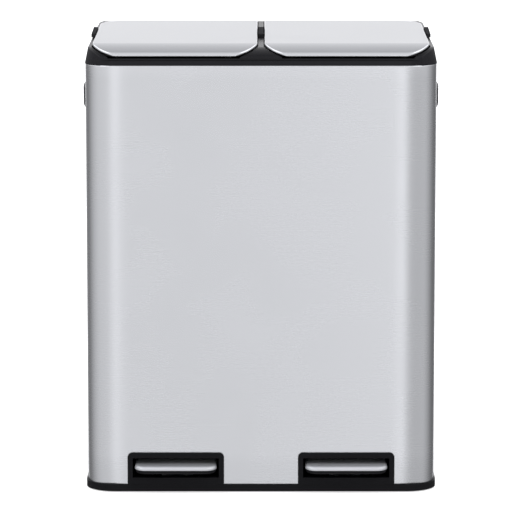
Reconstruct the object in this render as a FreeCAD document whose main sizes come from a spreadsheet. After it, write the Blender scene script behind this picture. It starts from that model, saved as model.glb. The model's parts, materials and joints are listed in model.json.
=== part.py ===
# Double pedal bin with two lids over two inner buckets.
# Millimetres, +Z up, the front faces -Y, +X is to the right seen from the front.
# The origin is on the floor, under the middle of the whole footprint.
import FreeCAD, Part
import Sketcher
import math
import os
import re

doc = FreeCAD.newDocument("DoublePedalBin")

# ---------------------------------------------------------------- driving dimensions
dimensions = {
    # steel body
    "bodyWidth": 500, "bodyDepth": 330, "sleeveHeight": 602, "bodyCorner": 42, "bodyWall": 0.8,
    "seamWidth": 9, "seamProud": 0.6,
    # base tray and feet
    "footHeight": 1.5, "footRadius": 11, "footRecess": 1.2, "footInset": 48, "baseSkirt": 10,
    "baseProud": 1.5,
    "baseFloor": 3, "baseRimWall": 2.5, "baseRimHeight": 8, "fitGap": 0.3,
    "ribThick": 3, "ribInner": 32, "ribOuter": 84, "ribStart": 62, "ribEnd": 250, "bucketClear": 15.6,
    # collar
    "collarFace": 9.5, "deckThick": 3, "collarWall": 3, "skirtDepth": 12, "skirtWall": 2.2,
    "railDrop": 4.5, "railEdge": 1.8, "rearRound": 22,
    "mouthFront": 26, "mouthBack": 62, "mouthSide": 16, "mouthCentre": 12, "mouthCorner": 22,
    # lids
    "lidFrontSet": 5, "lidBackSet": 45, "lidSideSet": 8.5, "lidCentreGap": 5, "lidLift": 3.5, "hemDepth": 2.5,
    "lidCornerStep": 8, "lidRearCorner": 13, "lidInnerCorner": 6, "lidSkin": 1.2, "lidEdge": 1.1,
    "noseRadius": 55, "noseAngle": 33, "edgeRadius": 9, "edgeAngle": 65, "lidSlope": 2.6,
    "lidGap": 1.2, "linerInset": 6, "linerDrop": 9, "linerWall": 2.2,
    # lid hinge and crank
    "hingeSet": 4.5, "hingeDrop": 9, "barrelRadius": 6, "pinRadius": 2.5, "pinGap": 0.05, "pinOver": 6,
    "knuckleSpan": 82, "knuckleWidth": 16, "postWidth": 8, "postGap": 0.4, "coverGap": 11.5, "coverWall": 2.4,
    "crankRadius": 11, "lidOpen": 80, "lugWidth": 4, "lugEnd": 4.5, "crankPin": 2,
    # pedals
    "pedalSetIn": 3, "pedalWidth": 117, "pedalReach": 20, "pedalInside": 30, "pedalTop": 41,
    "plateDrop": 5.6, "plateWall": 1.2, "padDrop": 5, "pedalCorner": 12, "noseRound": 2.4,
    "frameBorder": 7.5, "frameBand": 8, "frameProud": 3, "frameDeep": 8, "frameCorner": 7,
    "pedalClear": 3, "openBelow": 19, "openAbove": 9, "frameLap": 4,
    # lever and its pivot
    "pivotBack": 95, "pivotSink": 4.4, "axleRadius": 3, "leverWidth": 20, "leverWall": 2, "tongueSink": 1,
    "leverDeep": 8.4, "tongueThick": 3.8, "leverFront": 8, "leverSlope": 40, "leverKnee": 60,
    "earGap": 1, "earThick": 1.5, "earRadius": 8, "bracketThick": 1.5, "bracketWide": 46, "bracketLong": 30,
    "axleHead": 1.4, "axleHeadRadius": 5,
    # push rod, its clips and the damper
    "rodRadius": 3, "footTall": 15, "rodFootRadius": 5, "rodLift": 7.6, "headWide": 12, "headLong": 11,
    "headBelow": 26, "headAbove": 4, "slotHalf": 3.5, "slotGap": 0.4, "cheekGap": 0.5, "lugSlot": 12,
    "clipLow": 170, "clipHigh": 430, "clipThick": 2, "clipWide": 66, "clipReach": 12, "clipTab": 24,
    "damperOff": 21, "damperRadius": 8, "damperLong": 88, "plungerRadius": 2, "armRise": 42, "armThick": 6,
    # buckets
    "bucketDrop": 1.5, "bucketGap": 1.6, "bucketWall": 2.4, "bucketFloor": 3, "bucketTaper": 11,
    "bucketCorner": 14, "rimWide": 5, "rimTall": 12,
    # handles, rail caps, bumpers, screws
    "handleLong": 130, "handleTall": 28, "handleDrop": 47.5, "handleReach": 12.5, "handleBar": 4.5,
    "handlePad": 24, "handleRound": 2.6,
    "capStart": 85, "capLong": 105, "capRise": 5, "capPeg": 5, "capPegRadius": 1.8, "capRound": 0.8,
    "bumperRadius": 5, "bumperBack": 19, "bumperSide": 40,
    "screwRadius": 1.7, "screwHead": 3.6, "screwHeadTall": 1.4, "screwLong": 9, "screwGap": 0.1,
}

sheet = doc.addObject("Spreadsheet::Sheet", "Sizes")
for row, (alias, size) in enumerate(dimensions.items(), start=1):
    sheet.set(f"A{row}", alias)
    sheet.set(f"B{row}", str(size))
    sheet.setAlias(f"B{row}", alias)
doc.recompute()

# places that follow from the dimensions, written as formulas of their names
places = {
    "front": "((pedalReach - bodyDepth - baseProud)/2)",
    "back": "(front + bodyDepth)",
    "sleeveBottom": "(footHeight + baseSkirt)",
    "sleeveTop": "(sleeveBottom + sleeveHeight)",
    "floorTop": "(footHeight + baseFloor)",
    "deckTop": "(sleeveTop + collarFace)",
    "deckUnder": "(deckTop - deckThick)",
    "sleeveInside": "(bodyWall + fitGap)",
    "bucketTop": "(sleeveTop - bucketDrop)",
    "handleTop": "(sleeveTop - handleDrop)",
    "lidFront": "(front + lidFrontSet)",
    "lidWidth": "(bodyWidth/2 - lidCentreGap - lidSideSet)",
    "lidDepth": "(bodyDepth - lidFrontSet - lidBackSet)",
    "lidCorner": "(bodyCorner - lidCornerStep)",
    "lidRear": "(lidFront + lidDepth)",
    "lidOuter": "(lidCentreGap + lidWidth)",
    "hemTop": "(deckTop + lidLift + hemDepth)",
    # the lid's side view: a tight edge arc, a long nose arc and then a straight slope
    "edgeY": "(lidFront + edgeRadius*sin(edgeAngle))",
    "edgeZ": "(hemTop - edgeRadius*cos(edgeAngle))",
    "noseY": "(edgeY + (noseRadius - edgeRadius)*sin(noseAngle))",
    "noseZ": "(edgeZ - (noseRadius - edgeRadius)*cos(noseAngle))",
    "crestY": "(noseY - noseRadius*sin(lidSlope))",
    "crestZ": "(noseZ + noseRadius*cos(lidSlope))",
    "lidTopRear": "(crestZ + (lidRear - crestY)*tan(lidSlope))",
    "hingeY": "(lidRear + hingeSet)",
    "hingeZ": "(lidTopRear - hingeDrop)",
    "coverFront": "(hingeY + coverGap)",
    "crankHalf": "(lidOpen/2)",
    "crankY": "(hingeY - crankRadius*cos(crankHalf))",
    "crankZ": "(hingeZ - crankRadius*sin(crankHalf))",
    "rodY": "(hingeY - crankRadius*(1 + cos(crankHalf))/2)",
    # pedals, each in the middle of its half less a small step, with levers and surrounds that follow them
    "pedalCentre": "(bodyWidth/4 - pedalSetIn)",
    "openWidth": "(pedalWidth + 2*pedalClear)",
    "openLow": "(pedalTop - openBelow)",
    "openHigh": "(pedalTop + openAbove)",
    "frameWidth": "(openWidth + 2*frameBorder)",
    "frameTop": "(openHigh + frameBand)",
    "leverTop": "(pedalTop - plateDrop - tongueSink)",
    "pivotY": "(front + pivotBack)",
    "pivotHeight": "(leverTop - pivotSink)",
    "rodBottom": "(leverTop + rodLift)",
    "bucketRest": "(leverTop + bucketClear)",
    "armHeight": "(clipHigh + armRise)",
    "capY": "(front + capStart)",
    "capZ": "(crestZ - railDrop + (capY - crestY)*tan(lidSlope))",
    "bumperY": "(front + bumperBack)",
    "backInside": "(back - bodyWall)",
    "damperY": "(rodY + plungerRadius)",
}


def spelledOut(text):
    """Replace each place by its formula until only driving dimensions are left."""
    pattern = re.compile(r"\b(" + "|".join(places) + r")\b")
    while pattern.search(text):
        text = pattern.sub(lambda found: places[found.group(0)], text)
    return text


aliasPattern = re.compile(r"\b(" + "|".join(dimensions) + r")\b")


def linked(text):
    return aliasPattern.sub(lambda found: "Sizes." + found.group(0), spelledOut(str(text)))


namePattern = re.compile(r"\b(" + "|".join([*places, *dimensions]) + r")\b")


def number(text):
    """The value of a formula, worked out place by place."""
    def worth(found):
        name = found.group(0)
        size = number(places[name]) if name in places else float(dimensions[name])
        return f"({size:.9f})"
    inRadians = re.sub(r"\b(sin|cos|tan)\(", r"\1(pi/180*", str(text))
    return float(FreeCAD.Units.parseQuantity(namePattern.sub(worth, inRadians)).Value)


def bind(thing, **formulas):
    """Bind properties to formulas; a double underscore stands for a dot in the property's path."""
    for name, text in formulas.items():
        thing.setExpression(name.replace("__", "."), linked(text))
    return thing


def at(thing, x, y, z):
    return bind(thing, Placement__Base__x=x, Placement__Base__y=y, Placement__Base__z=z)


# ---------------------------------------------------------------- plain shapes
def block(name, x, y, z):
    """A box between pairs of formulas along X, Y and Z."""
    thing = doc.addObject("Part::Box", name)
    bind(thing, Length=f"({x[1]}) - ({x[0]})", Width=f"({y[1]}) - ({y[0]})", Height=f"({z[1]}) - ({z[0]})")
    return at(thing, x[0], y[0], z[0])


turns = {
    "x": FreeCAD.Rotation(FreeCAD.Vector(0, 1, 0), 90),
    "y": FreeCAD.Rotation(FreeCAD.Vector(1, 0, 0), -90),
    "z": FreeCAD.Rotation(),
}


def rod(name, radius, length, x, y, z, along="z"):
    """A cylinder that starts at a point and runs in the positive direction of an axis."""
    thing = doc.addObject("Part::Cylinder", name)
    thing.Placement = FreeCAD.Placement(FreeCAD.Vector(), turns[along])
    bind(thing, Radius=radius, Height=length)
    return at(thing, x, y, z)


def join(name, things):
    thing = doc.addObject("Part::MultiFuse", name)
    thing.Shapes = things
    return thing


def cut(name, base, tools):
    thing = doc.addObject("Part::Cut", name)
    thing.Base = base
    thing.Tool = tools[0] if len(tools) == 1 else join(name + "Tools", tools)
    return thing


def common(name, one, other):
    thing = doc.addObject("Part::Common", name)
    thing.Base = one
    thing.Tool = other
    return thing


def group(name, things):
    thing = doc.addObject("Part::Compound", name)
    thing.Links = things
    return thing


def mirrored(name, source):
    """The same piece on the other side of the middle plane."""
    thing = doc.addObject("Part::Mirroring", name)
    thing.Source = source
    thing.Normal = FreeCAD.Vector(1, 0, 0)
    return thing


# ---------------------------------------------------------------- choosing edges
def isAlong(edge, axis):
    ends = [vertex.Point for vertex in edge.Vertexes]
    if len(ends) != 2 or edge.Curve.TypeId != "Part::GeomLine":
        return False
    step = (ends[1] - ends[0]).normalize()
    return abs(abs(step.dot(axis)) - 1) < 1e-6


def edgeNames(shape, wanted):
    return [f"Edge{i}" for i, edge in enumerate(shape.Edges, start=1) if wanted(edge)]


def rounded(body, base, name, radius, wanted):
    """A fillet feature in a body, on the edges that the test picks."""
    doc.recompute()
    feature = body.newObject("PartDesign::Fillet", name)
    feature.Base = (base, edgeNames(base.Shape, wanted))
    bind(feature, Radius=radius)
    return feature


def softened(name, base, radius, wanted):
    """A Part fillet on a boolean's result."""
    doc.recompute()
    size = number(radius)
    edges = [int(edge[4:]) for edge in edgeNames(base.Shape, wanted)]
    thing = doc.addObject("Part::Fillet", name)
    thing.Base = base
    thing.Edges = [(edge, size, size) for edge in edges]
    return thing


upward = FreeCAD.Vector(0, 0, 1)


def corner(sideX=0, sideY=0):
    """A test for upright edges, all of them or those on one side of the shape's middle."""
    def wanted(edge, middle):
        spot = edge.CenterOfMass - middle
        return isAlong(edge, upward) and spot.x * sideX >= 0 and spot.y * sideY >= 0
    return wanted


def column(name, x, y, z, corners):
    """An upright box whose corners are rounded: corners is a list of (test, radius)."""
    body = doc.addObject("PartDesign::Body", name)
    base = body.newObject("PartDesign::AdditiveBox", name + "Box")
    bind(base, Length=f"({x[1]}) - ({x[0]})", Width=f"({y[1]}) - ({y[0]})", Height=f"({z[1]}) - ({z[0]})")
    at(base, x[0], y[0], z[0])
    doc.recompute()
    middle = base.Shape.BoundBox.Center
    feature = base
    for count, (test, radius) in enumerate(corners, start=1):
        feature = rounded(body, feature, f"{name}Corner{count}", radius,
                          lambda edge: test(edge, middle) and edge.Length > base.Height.Value * 0.99)
    return body


def sleeve(name, inset, z, radius):
    """An upright block with the body's outline, drawn in on every side by an inset."""
    return column(name, (f"-bodyWidth/2 + {inset}", f"bodyWidth/2 - ({inset})"),
                  (f"front + {inset}", f"back - ({inset})"), z, [(corner(), radius)])


# ---------------------------------------------------------------- sketched shapes
def planeOf(body, role):
    return next(item for item in body.Origin.OriginFeatures if item.Role == role)


def sketchOn(body, name, role, offset):
    sketch = body.newObject("Sketcher::SketchObject", name)
    sketch.AttachmentSupport = [(planeOf(body, role), "")]
    sketch.MapMode = "FlatFace"
    bind(sketch, AttachmentOffset__Base__z=offset)
    return sketch


def pinPoint(sketch, index, place, name, u, v):
    """Hold one point of a line at two formulas measured from the sketch's origin."""
    across = sketch.addConstraint(Sketcher.Constraint("DistanceX", -1, 1, index, place, number(u)))
    sketch.renameConstraint(across, name + "Across")
    up = sketch.addConstraint(Sketcher.Constraint("DistanceY", -1, 1, index, place, number(v)))
    sketch.renameConstraint(up, name + "Up")
    sketch.setExpression(f"Constraints.{name}Across", linked(u))
    sketch.setExpression(f"Constraints.{name}Up", linked(v))


def sideShape(name, points, x):
    """A plate with a side view drawn through points (Y, Z), between two places along X."""
    body = doc.addObject("PartDesign::Body", name)
    sketch = sketchOn(body, name + "Sketch", "YZ_Plane", x[0])
    spots = [FreeCAD.Vector(number(u), number(v), 0) for u, v in points]
    count = len(spots)
    for i in range(count):
        sketch.addGeometry(Part.LineSegment(spots[i], spots[(i + 1) % count]), False)
    for i in range(count):
        sketch.addConstraint(Sketcher.Constraint("Coincident", i, 2, (i + 1) % count, 1))
    for i, (u, v) in enumerate(points):
        pinPoint(sketch, i, 1, f"corner{i}", u, v)
    pad = body.newObject("PartDesign::Pad", name + "Pad")
    pad.Profile = sketch
    bind(pad, Length=f"({x[1]}) - ({x[0]})")
    return body


def underLid(name, x, inset="0", drop="0", rear="back", low="sleeveBottom", rearRadius=None):
    """Everything under the lid's side curve, drawn in by an inset or let down by a drop."""
    body = doc.addObject("PartDesign::Body", name)
    sketch = sketchOn(body, name + "Sketch", "YZ_Plane", x[0])
    edgeR, noseR = f"(edgeRadius - {inset})", f"(noseRadius - {inset})"
    edgeC = FreeCAD.Vector(number("edgeY"), number(f"edgeZ - {drop}"), 0)
    noseC = FreeCAD.Vector(number("noseY"), number(f"noseZ - {drop}"), 0)
    angles = [math.radians(90 + number(angle)) for angle in ("lidSlope", "noseAngle", "edgeAngle")]
    crest = noseC + FreeCAD.Vector(math.cos(angles[0]), math.sin(angles[0]), 0) * number(noseR)
    toe = edgeC + FreeCAD.Vector(math.cos(angles[2]), math.sin(angles[2]), 0) * number(edgeR)
    rearY, lowZ = number(rear), number(low)
    slopeRise = math.tan(math.radians(number("lidSlope")))
    rearTop = FreeCAD.Vector(rearY, crest.y + (rearY - crest.x) * slopeRise, 0)
    toeLow, rearLow = FreeCAD.Vector(toe.x, lowZ, 0), FreeCAD.Vector(rearY, lowZ, 0)
    flat = FreeCAD.Vector(0, 0, 1)
    slope, nose, edge, fore, floor, aft = range(6)
    sketch.addGeometry([
        Part.LineSegment(crest, rearTop),
        Part.ArcOfCircle(Part.Circle(noseC, flat, number(noseR)), angles[0], angles[1]),
        Part.ArcOfCircle(Part.Circle(edgeC, flat, number(edgeR)), angles[1], angles[2]),
        Part.LineSegment(toe, toeLow),
        Part.LineSegment(toeLow, rearLow),
        Part.LineSegment(rearLow, rearTop),
    ], False)
    for rule in (
        ("Tangent", nose, 1, slope, 1), ("Tangent", nose, 2, edge, 1), ("Coincident", edge, 2, fore, 1),
        ("Coincident", fore, 2, floor, 1), ("Coincident", floor, 2, aft, 1), ("Coincident", aft, 2, slope, 2),
        ("Vertical", fore), ("Horizontal", floor), ("Vertical", aft),
    ):
        sketch.addConstraint(Sketcher.Constraint(*rule))
    for label, rule, formula in (
        ("noseSize", ("Radius", nose, number(noseR)), noseR),
        ("edgeSize", ("Radius", edge, number(edgeR)), edgeR),
        ("edgeAcross", ("DistanceX", -1, 1, edge, 3, edgeC.x), "edgeY"),
        ("edgeUp", ("DistanceY", -1, 1, edge, 3, edgeC.y), f"edgeZ - {drop}"),
        ("toeAcross", ("DistanceX", edge, 2, edge, 3, edgeC.x - toe.x), f"{edgeR}*sin(edgeAngle)"),
        ("joinAcross", ("DistanceX", edge, 1, edge, 3, number(f"{edgeR}*sin(noseAngle)")),
         f"{edgeR}*sin(noseAngle)"),
        ("tilt", ("Angle", slope, math.radians(number("lidSlope"))), "lidSlope * 1 deg"),
        ("rearAcross", ("DistanceX", -1, 1, slope, 2, rearY), rear),
        ("lowUp", ("DistanceY", -1, 1, floor, 1, lowZ), low),
    ):
        index = sketch.addConstraint(Sketcher.Constraint(*rule))
        sketch.renameConstraint(index, label)
        sketch.setExpression("Constraints." + label, linked(formula))
    pad = body.newObject("PartDesign::Pad", name + "Pad")
    pad.Profile = sketch
    bind(pad, Length=f"({x[1]}) - ({x[0]})")
    if rearRadius:
        across = FreeCAD.Vector(1, 0, 0)
        rounded(body, pad, name + "Round", rearRadius,
                lambda line: isAlong(line, across) and line.CenterOfMass.y > rearY - 0.01
                and line.CenterOfMass.z > lowZ + 1)
    return body


# ---------------------------------------------------------------- the list of finished pieces
pieces = {}


def piece(node, thing):
    thing.Label = node
    pieces[node] = thing
    return thing


def pair(node, left):
    """Keep a piece for the left side and its mirror image for the right side."""
    piece(node + "_left", left)
    piece(node + "_right", mirrored(left.Name + "Right", left))


farLeft, farRight = "-bodyWidth/2 - baseProud", "bodyWidth/2 + baseProud"
centre = "-pedalCentre"


# ---------------------------------------------------------------- steel body
def screw(name, x, y, z, along, sign):
    """A pan-head screw: its head's outer face is at the point and it runs into the part along an axis."""
    # sign is 1 when it runs in the positive direction of the axis and -1 when it runs back
    spot = {"x": x, "y": y, "z": z}
    head, shank = dict(spot), dict(spot)
    if sign > 0:
        shank[along] = f"{spot[along]} + screwHeadTall"
    else:
        head[along] = f"{spot[along]} - screwHeadTall"
        shank[along] = f"{spot[along]} - screwHeadTall - screwLong"
    top = rod(name + "Head", "screwHead", "screwHeadTall", head["x"], head["y"], head["z"], along)
    body = rod(name + "Shank", "screwRadius", "screwLong", shank["x"], shank["y"], shank["z"], along)
    return join(name, [top, body])


def screwHole(name, x, y, z, along):
    """A clearance hole centred on a point of the screw's axis, longer than any wall it passes."""
    spot = {"x": x, "y": y, "z": z}
    spot[along] = f"{spot[along]} - screwLong*1.5"
    return rod(name, "screwRadius + screwGap", "screwLong*3", spot["x"], spot["y"], spot["z"], along)


backScrewX = ("-bodyWidth*0.36", "0", "bodyWidth*0.36")
backScrewZ = ("sleeveTop - skirtDepth/2", "sleeveBottom + baseRimHeight/2")
handleScrewY = ("(front + back)/2 - handleLong/2 + handlePad/2",
                "(front + back)/2 + handleLong/2 - handlePad/2")
handleScrewZ = "handleTop - handleTall/2"


def backHoles(prefix):
    return [rod(f"{prefix}BackHole{i}{j}", "screwRadius + screwGap", "screwLong*2", x,
                "back - screwLong*1.5", z, "y")
            for i, x in enumerate(backScrewX) for j, z in enumerate(backScrewZ)]


def handleHoles(prefix):
    return [screwHole(f"{prefix}HandleHole{side}{i}", f"{sign}bodyWidth/2", y, handleScrewZ, "x")
            for side, sign in (("L", "-"), ("R", "")) for i, y in enumerate(handleScrewY)]


def pedalCut(name, x):
    return block(name, (f"{x} - frameWidth/2 + frameLap", f"{x} + frameWidth/2 - frameLap"),
                 ("front - 1", "front + bodyCorner"), ("sleeveBottom - 1", "frameTop - frameLap"))


def clipHoles(prefix):
    """Rivet holes for the rod clips, on both sides of the back."""
    return [rod(f"{prefix}ClipHole{i}{j}{k}", "screwRadius + screwGap", "bodyWall*12",
                f"{sign}pedalCentre + {off}",
                "back - bodyWall*6", f"{z} + clipThick + clipTab/2", "y")
            for i, sign in enumerate(("-", "")) for j, off in enumerate(("(-clipWide/3)", "clipWide/3"))
            for k, z in enumerate(("clipLow", "clipHigh"))]


shellOuter = sleeve("ShellOuter", "0", ("sleeveBottom", "sleeveTop"), "bodyCorner")
shellInner = sleeve("ShellInner", "bodyWall", ("sleeveBottom - 1", "sleeveTop + 1"), "bodyCorner - bodyWall")
seam = block("SeamStrip", ("-seamWidth/2", "seamWidth/2"), ("back - bodyWall/2", "back + seamProud"),
             ("sleeveBottom", "sleeveTop"))
seamHoles = [rod(f"SeamHole{j}", "screwHead + fitGap", "seamProud*4", "0", "back", z, "y")
             for j, z in enumerate(backScrewZ)]
shellWithSeam = join("ShellWithSeam", [shellOuter, cut("SeamWithHoles", seam, seamHoles)])
piece("body_shell", cut("Shell", shellWithSeam, [
    shellInner, pedalCut("PedalCutLeft", centre), pedalCut("PedalCutRight", "pedalCentre"),
    *backHoles("Shell"), *handleHoles("Shell"), *clipHoles("Shell")]))


# ---------------------------------------------------------------- base tray and feet
footX = ("-bodyWidth/2 + footInset", "0", "bodyWidth/2 - footInset")
footY = ("front + footInset", "back - footInset")
footSpots = [(x, y) for x in footX for y in footY]

traySkirt = sleeve("TraySkirt", "(-baseProud)", ("footHeight", "sleeveBottom"), "bodyCorner + baseProud")
trayRim = sleeve("TrayRim", "sleeveInside", ("footHeight", "sleeveBottom + baseRimHeight"),
                 "bodyCorner - sleeveInside")
trayHollow = sleeve("TrayHollow", "(sleeveInside + baseRimWall)", ("floorTop", "bucketRest"),
                    "bodyCorner - sleeveInside - baseRimWall")
ribX = ("-ribOuter", "-ribInner", "ribInner", "ribOuter")
ribs = [block(f"Rib{side}{i}", (f"{sign}pedalCentre + ({x}) - ribThick/2",
                                f"{sign}pedalCentre + ({x}) + ribThick/2"),
              ("front + ribStart", "front + ribEnd"), ("floorTop - baseFloor/2", "bucketRest"))
        for side, sign in (("L", "-"), ("R", "")) for i, x in enumerate(ribX)]
bracketScrewX = "bracketWide/2 - screwHead - 1"
trayCuts = [
    *[rod(f"FootRecess{i}", "footRadius + fitGap/2", "footRecess", x, y, "footHeight")
      for i, (x, y) in enumerate(footSpots)],
    *[block(f"RimNotch{side}", (f"{x} - frameWidth/2", f"{x} + frameWidth/2"),
            ("front + sleeveInside/2", "front + sleeveInside + baseRimWall + 1"),
            ("sleeveBottom", "bucketRest")) for side, x in (("L", centre), ("R", "pedalCentre"))],
    *backHoles("Tray"),
]
trayBlank = cut("TrayBlank", join("TrayOuter", [traySkirt, trayRim]), [trayHollow])
piece("base_tray", cut("Tray", join("TrayWithRibs", [trayBlank, *ribs]), [
    *trayCuts,
    *[screwHole(f"TrayBracketHole{side}{i}", f"{sign}pedalCentre {turn} ({bracketScrewX})", "pivotY",
                "floorTop + screwLong", "z")
      for side, sign in (("L", "-"), ("R", "")) for i, turn in enumerate("-+")]]))
piece("base_feet", group("Feet", [rod(f"Foot{i}", "footRadius", "footHeight + footRecess", x, y, "0")
                                  for i, (x, y) in enumerate(footSpots)]))


# ---------------------------------------------------------------- collar
outline = sleeve("CollarOutline", "0", ("sleeveTop", "lidTopRear + 30"), "bodyCorner")
collarCurve = underLid("CollarCurve", (farLeft, farRight), drop="railDrop", rear="back", low="sleeveTop - 1",
                       rearRadius="rearRound")
collarBlank = common("CollarBlank", outline, collarCurve)
doc.recompute()
blankBox = collarBlank.Shape.BoundBox


def isTopRim(edge):
    """The edges where the curved top meets the upright sides."""
    box = edge.BoundBox
    return (box.ZMax > blankBox.ZMin + number("collarFace") and box.ZMin > blankBox.ZMin + 1
            and not isAlong(edge, upward)
            and abs(edge.CenterOfMass.x) > number("bodyWidth/2 - bodyCorner") - 1
            and edge.CenterOfMass.y < number("back - rearRound") + 1
            and not isAlong(edge, FreeCAD.Vector(1, 0, 0)))


collarRounded = softened("CollarRounded", collarBlank, "railEdge", isTopRim)
doc.recompute()
if "Invalid" in collarRounded.State or collarRounded.Shape.isNull():
    raise RuntimeError("the collar's rail rounding failed")

pocketLeft = column("LidPocket", ("-lidOuter - lidGap", "-lidCentreGap + lidGap"),
                    ("lidFront - lidGap", "lidRear"), ("deckTop", "lidTopRear + 40"),
                    [(corner(0, -1), "lidCorner + lidGap")])
hingePocket = block("HingePocket", ("-lidOuter - lidGap", "-lidCentreGap + lidGap"),
                    ("(lidFront + lidRear)/2", "coverFront"), ("deckTop", "lidTopRear + 40"))
mouthLeft = column("Mouth", ("-bodyWidth/2 + mouthSide", "-mouthCentre"),
                   ("front + mouthFront", "back - mouthBack"),
                   ("sleeveTop - 40", "lidTopRear"), [(corner(), "mouthCorner")])
coverPocket = block("CoverPocket", ("-lidOuter - lidGap", "lidOuter + lidGap"), ("coverFront", "back + 1"),
                    ("deckTop", "lidTopRear + 40"))
underDeck = sleeve("UnderDeck", "collarWall", ("sleeveTop - 1", "deckUnder"), "bodyCorner - collarWall")
skirtOuter = sleeve("SkirtOuter", "sleeveInside", ("sleeveTop - skirtDepth", "deckUnder"),
                    "bodyCorner - sleeveInside")
skirtInner = sleeve("SkirtInner", "(sleeveInside + skirtWall)", ("sleeveTop - skirtDepth - 1", "deckUnder"),
                    "bodyCorner - sleeveInside - skirtWall")

postPlaces = [f"pedalCentre {sign} (knuckleSpan {turn} (knuckleWidth/2 + postGap + postWidth/2))"
              for sign in "+-" for turn in "+-"]


def barrel(name, x, width):
    """A knuckle's round end about the hinge line, centred on a place along X."""
    return rod(name, "barrelRadius", width, f"({x}) - ({width})/2", "hingeY", "hingeZ", "x")


posts = []
for i, spot in enumerate(postPlaces):
    x = f"-({spot})"
    posts += [barrel(f"PostRound{i}", x, "postWidth"),
              block(f"PostFoot{i}", (f"{x} - postWidth/2", f"{x} + postWidth/2"),
                    ("hingeY - barrelRadius", "hingeY + barrelRadius"), ("deckTop - 1", "hingeZ"))]
postsLeft = cut("PostsLeft", join("PostsSolid", posts),
                [rod("PostBore", "pinRadius + pinGap", "lidWidth", "-lidOuter", "hingeY", "hingeZ", "x")])
rodSlot = block("RodSlot", (f"{centre} - headWide/2 - 1.5", f"{centre} + headWide/2 + 1.5"),
                ("rodY - headLong/2 - 1.5", "rodY + headLong/2 + 1.5"), ("sleeveTop - 1", "deckTop + 1"))
capPegSpots = [("capStart + capLong*0.2", "A"), ("capStart + capLong*0.8", "B")]
capCentres = {"left": "-(lidOuter + lidGap + bodyWidth/2)/2", "centre": "0",
              "right": "(lidOuter + lidGap + bodyWidth/2)/2"}


def capPeg(name, x, back, radius):
    return rod(name, radius, "capPeg + capRise", x, f"front + {back}",
               f"crestZ - railDrop + (front + {back} - crestY)*tan(lidSlope) - capPeg")


pegHoles = [capPeg(f"PegHole{side}{tag}", x, back, "capPegRadius + screwGap")
            for side, x in capCentres.items() for back, tag in capPegSpots]
coverScrewX = ("-lidOuter*0.8", "-lidOuter*0.27", "lidOuter*0.27", "lidOuter*0.8")
coverScrewY = "(coverFront + coverWall/2 + screwHead)"
coverHoles = [screwHole(f"CoverHole{i}", x, coverScrewY, "deckTop", "z") for i, x in enumerate(coverScrewX)]

deck = cut("CollarHollow", collarRounded, [underDeck])
skirt = cut("CollarSkirt", skirtOuter, [skirtInner])
pockets = [pocketLeft, hingePocket, mirrored("LidPocketRight", pocketLeft),
           mirrored("HingePocketRight", hingePocket), coverPocket]
deckCut = cut("CollarPocketed", deck, pockets)
collarSolid = join("CollarSolid", [deckCut, skirt, postsLeft, mirrored("PostsRight", postsLeft)])
piece("collar", cut("Collar", collarSolid, [
    mouthLeft, mirrored("MouthRight", mouthLeft), rodSlot, mirrored("RodSlotRight", rodSlot),
    *pegHoles, *coverHoles, *backHoles("Collar")]))

# the caps lie on the rails' sloping tops
for side, x in capCentres.items():
    width = {"centre": "2*(lidCentreGap - lidGap)"}.get(side, "bodyWidth/2 - lidOuter - lidGap")
    body = doc.addObject("PartDesign::Body", f"Cap{side.title()}Body")
    bar = body.newObject("PartDesign::AdditiveBox", f"Cap{side.title()}Bar")
    bind(bar, Length=width, Width="capLong/cos(lidSlope)", Height="capRise")
    bar.Placement = FreeCAD.Placement(FreeCAD.Vector(), FreeCAD.Rotation(FreeCAD.Vector(1, 0, 0), 0))
    bind(bar, Placement__Rotation__Angle="lidSlope * 1 deg")
    at(bar, f"{x} - ({width})/2", "capY", "capZ")
    doc.recompute()
    low = bar.Shape.BoundBox.ZMin
    rounded(body, bar, f"Cap{side.title()}Round", "capRound",
            lambda edge: edge.CenterOfMass.z > low + number("capRise") * 0.9 + (
                edge.CenterOfMass.y - number("capY")) * math.tan(math.radians(number("lidSlope"))))
    pegs = [capPeg(f"Peg{side.title()}{tag}", x, back, "capPegRadius") for back, tag in capPegSpots]
    piece(f"rail_cap_{side}", join(f"Cap{side.title()}", [body, *pegs]))

# the hinge cover closes the back between the rails
coverOuterBox = block("CoverOuterBox", ("-lidOuter - lidGap + fitGap", "lidOuter + lidGap - fitGap"),
                      ("coverFront", "back + 1"), ("deckTop", "lidTopRear + 30"))
coverInnerBox = block("CoverInnerBox", ("-lidOuter - lidGap + coverWall", "lidOuter + lidGap - coverWall"),
                      ("coverFront + coverWall", "back - coverWall"), ("deckTop - 1", "lidTopRear + 30"))
coverCurve = underLid("CoverCurve", (farLeft, farRight), drop="(railDrop + coverWall)",
                      rear="back - coverWall",
                      low="sleeveTop - 1", rearRadius="rearRound - coverWall")
coverBlank = common("CoverBlank", collarBlank, coverOuterBox)
coverInset = sleeve("CoverInset", "coverWall", ("sleeveTop", "lidTopRear + 30"), "bodyCorner - coverWall")
coverCavity = common("CoverCavity", common("CoverRoom", coverCurve, coverInset), coverInnerBox)
coverCeiling = f"(crestZ - railDrop - coverWall + ({coverScrewY} - crestY)*tan(lidSlope))"
coverBosses = [rod(f"CoverBoss{i}", "screwHead", f"{coverCeiling} + coverWall/2 - deckTop", x, coverScrewY,
                   "deckTop")
               for i, x in enumerate(coverScrewX)]
coverShell = cut("CoverShell", coverBlank, [coverCavity])
coverScrewHoles = [screwHole(f"CoverBossHole{i}", x, coverScrewY, "deckTop", "z")
                   for i, x in enumerate(coverScrewX)]
piece("hinge_cover", cut("HingeCover", join("CoverSolid", [coverShell, *coverBosses]), coverScrewHoles))
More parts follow.
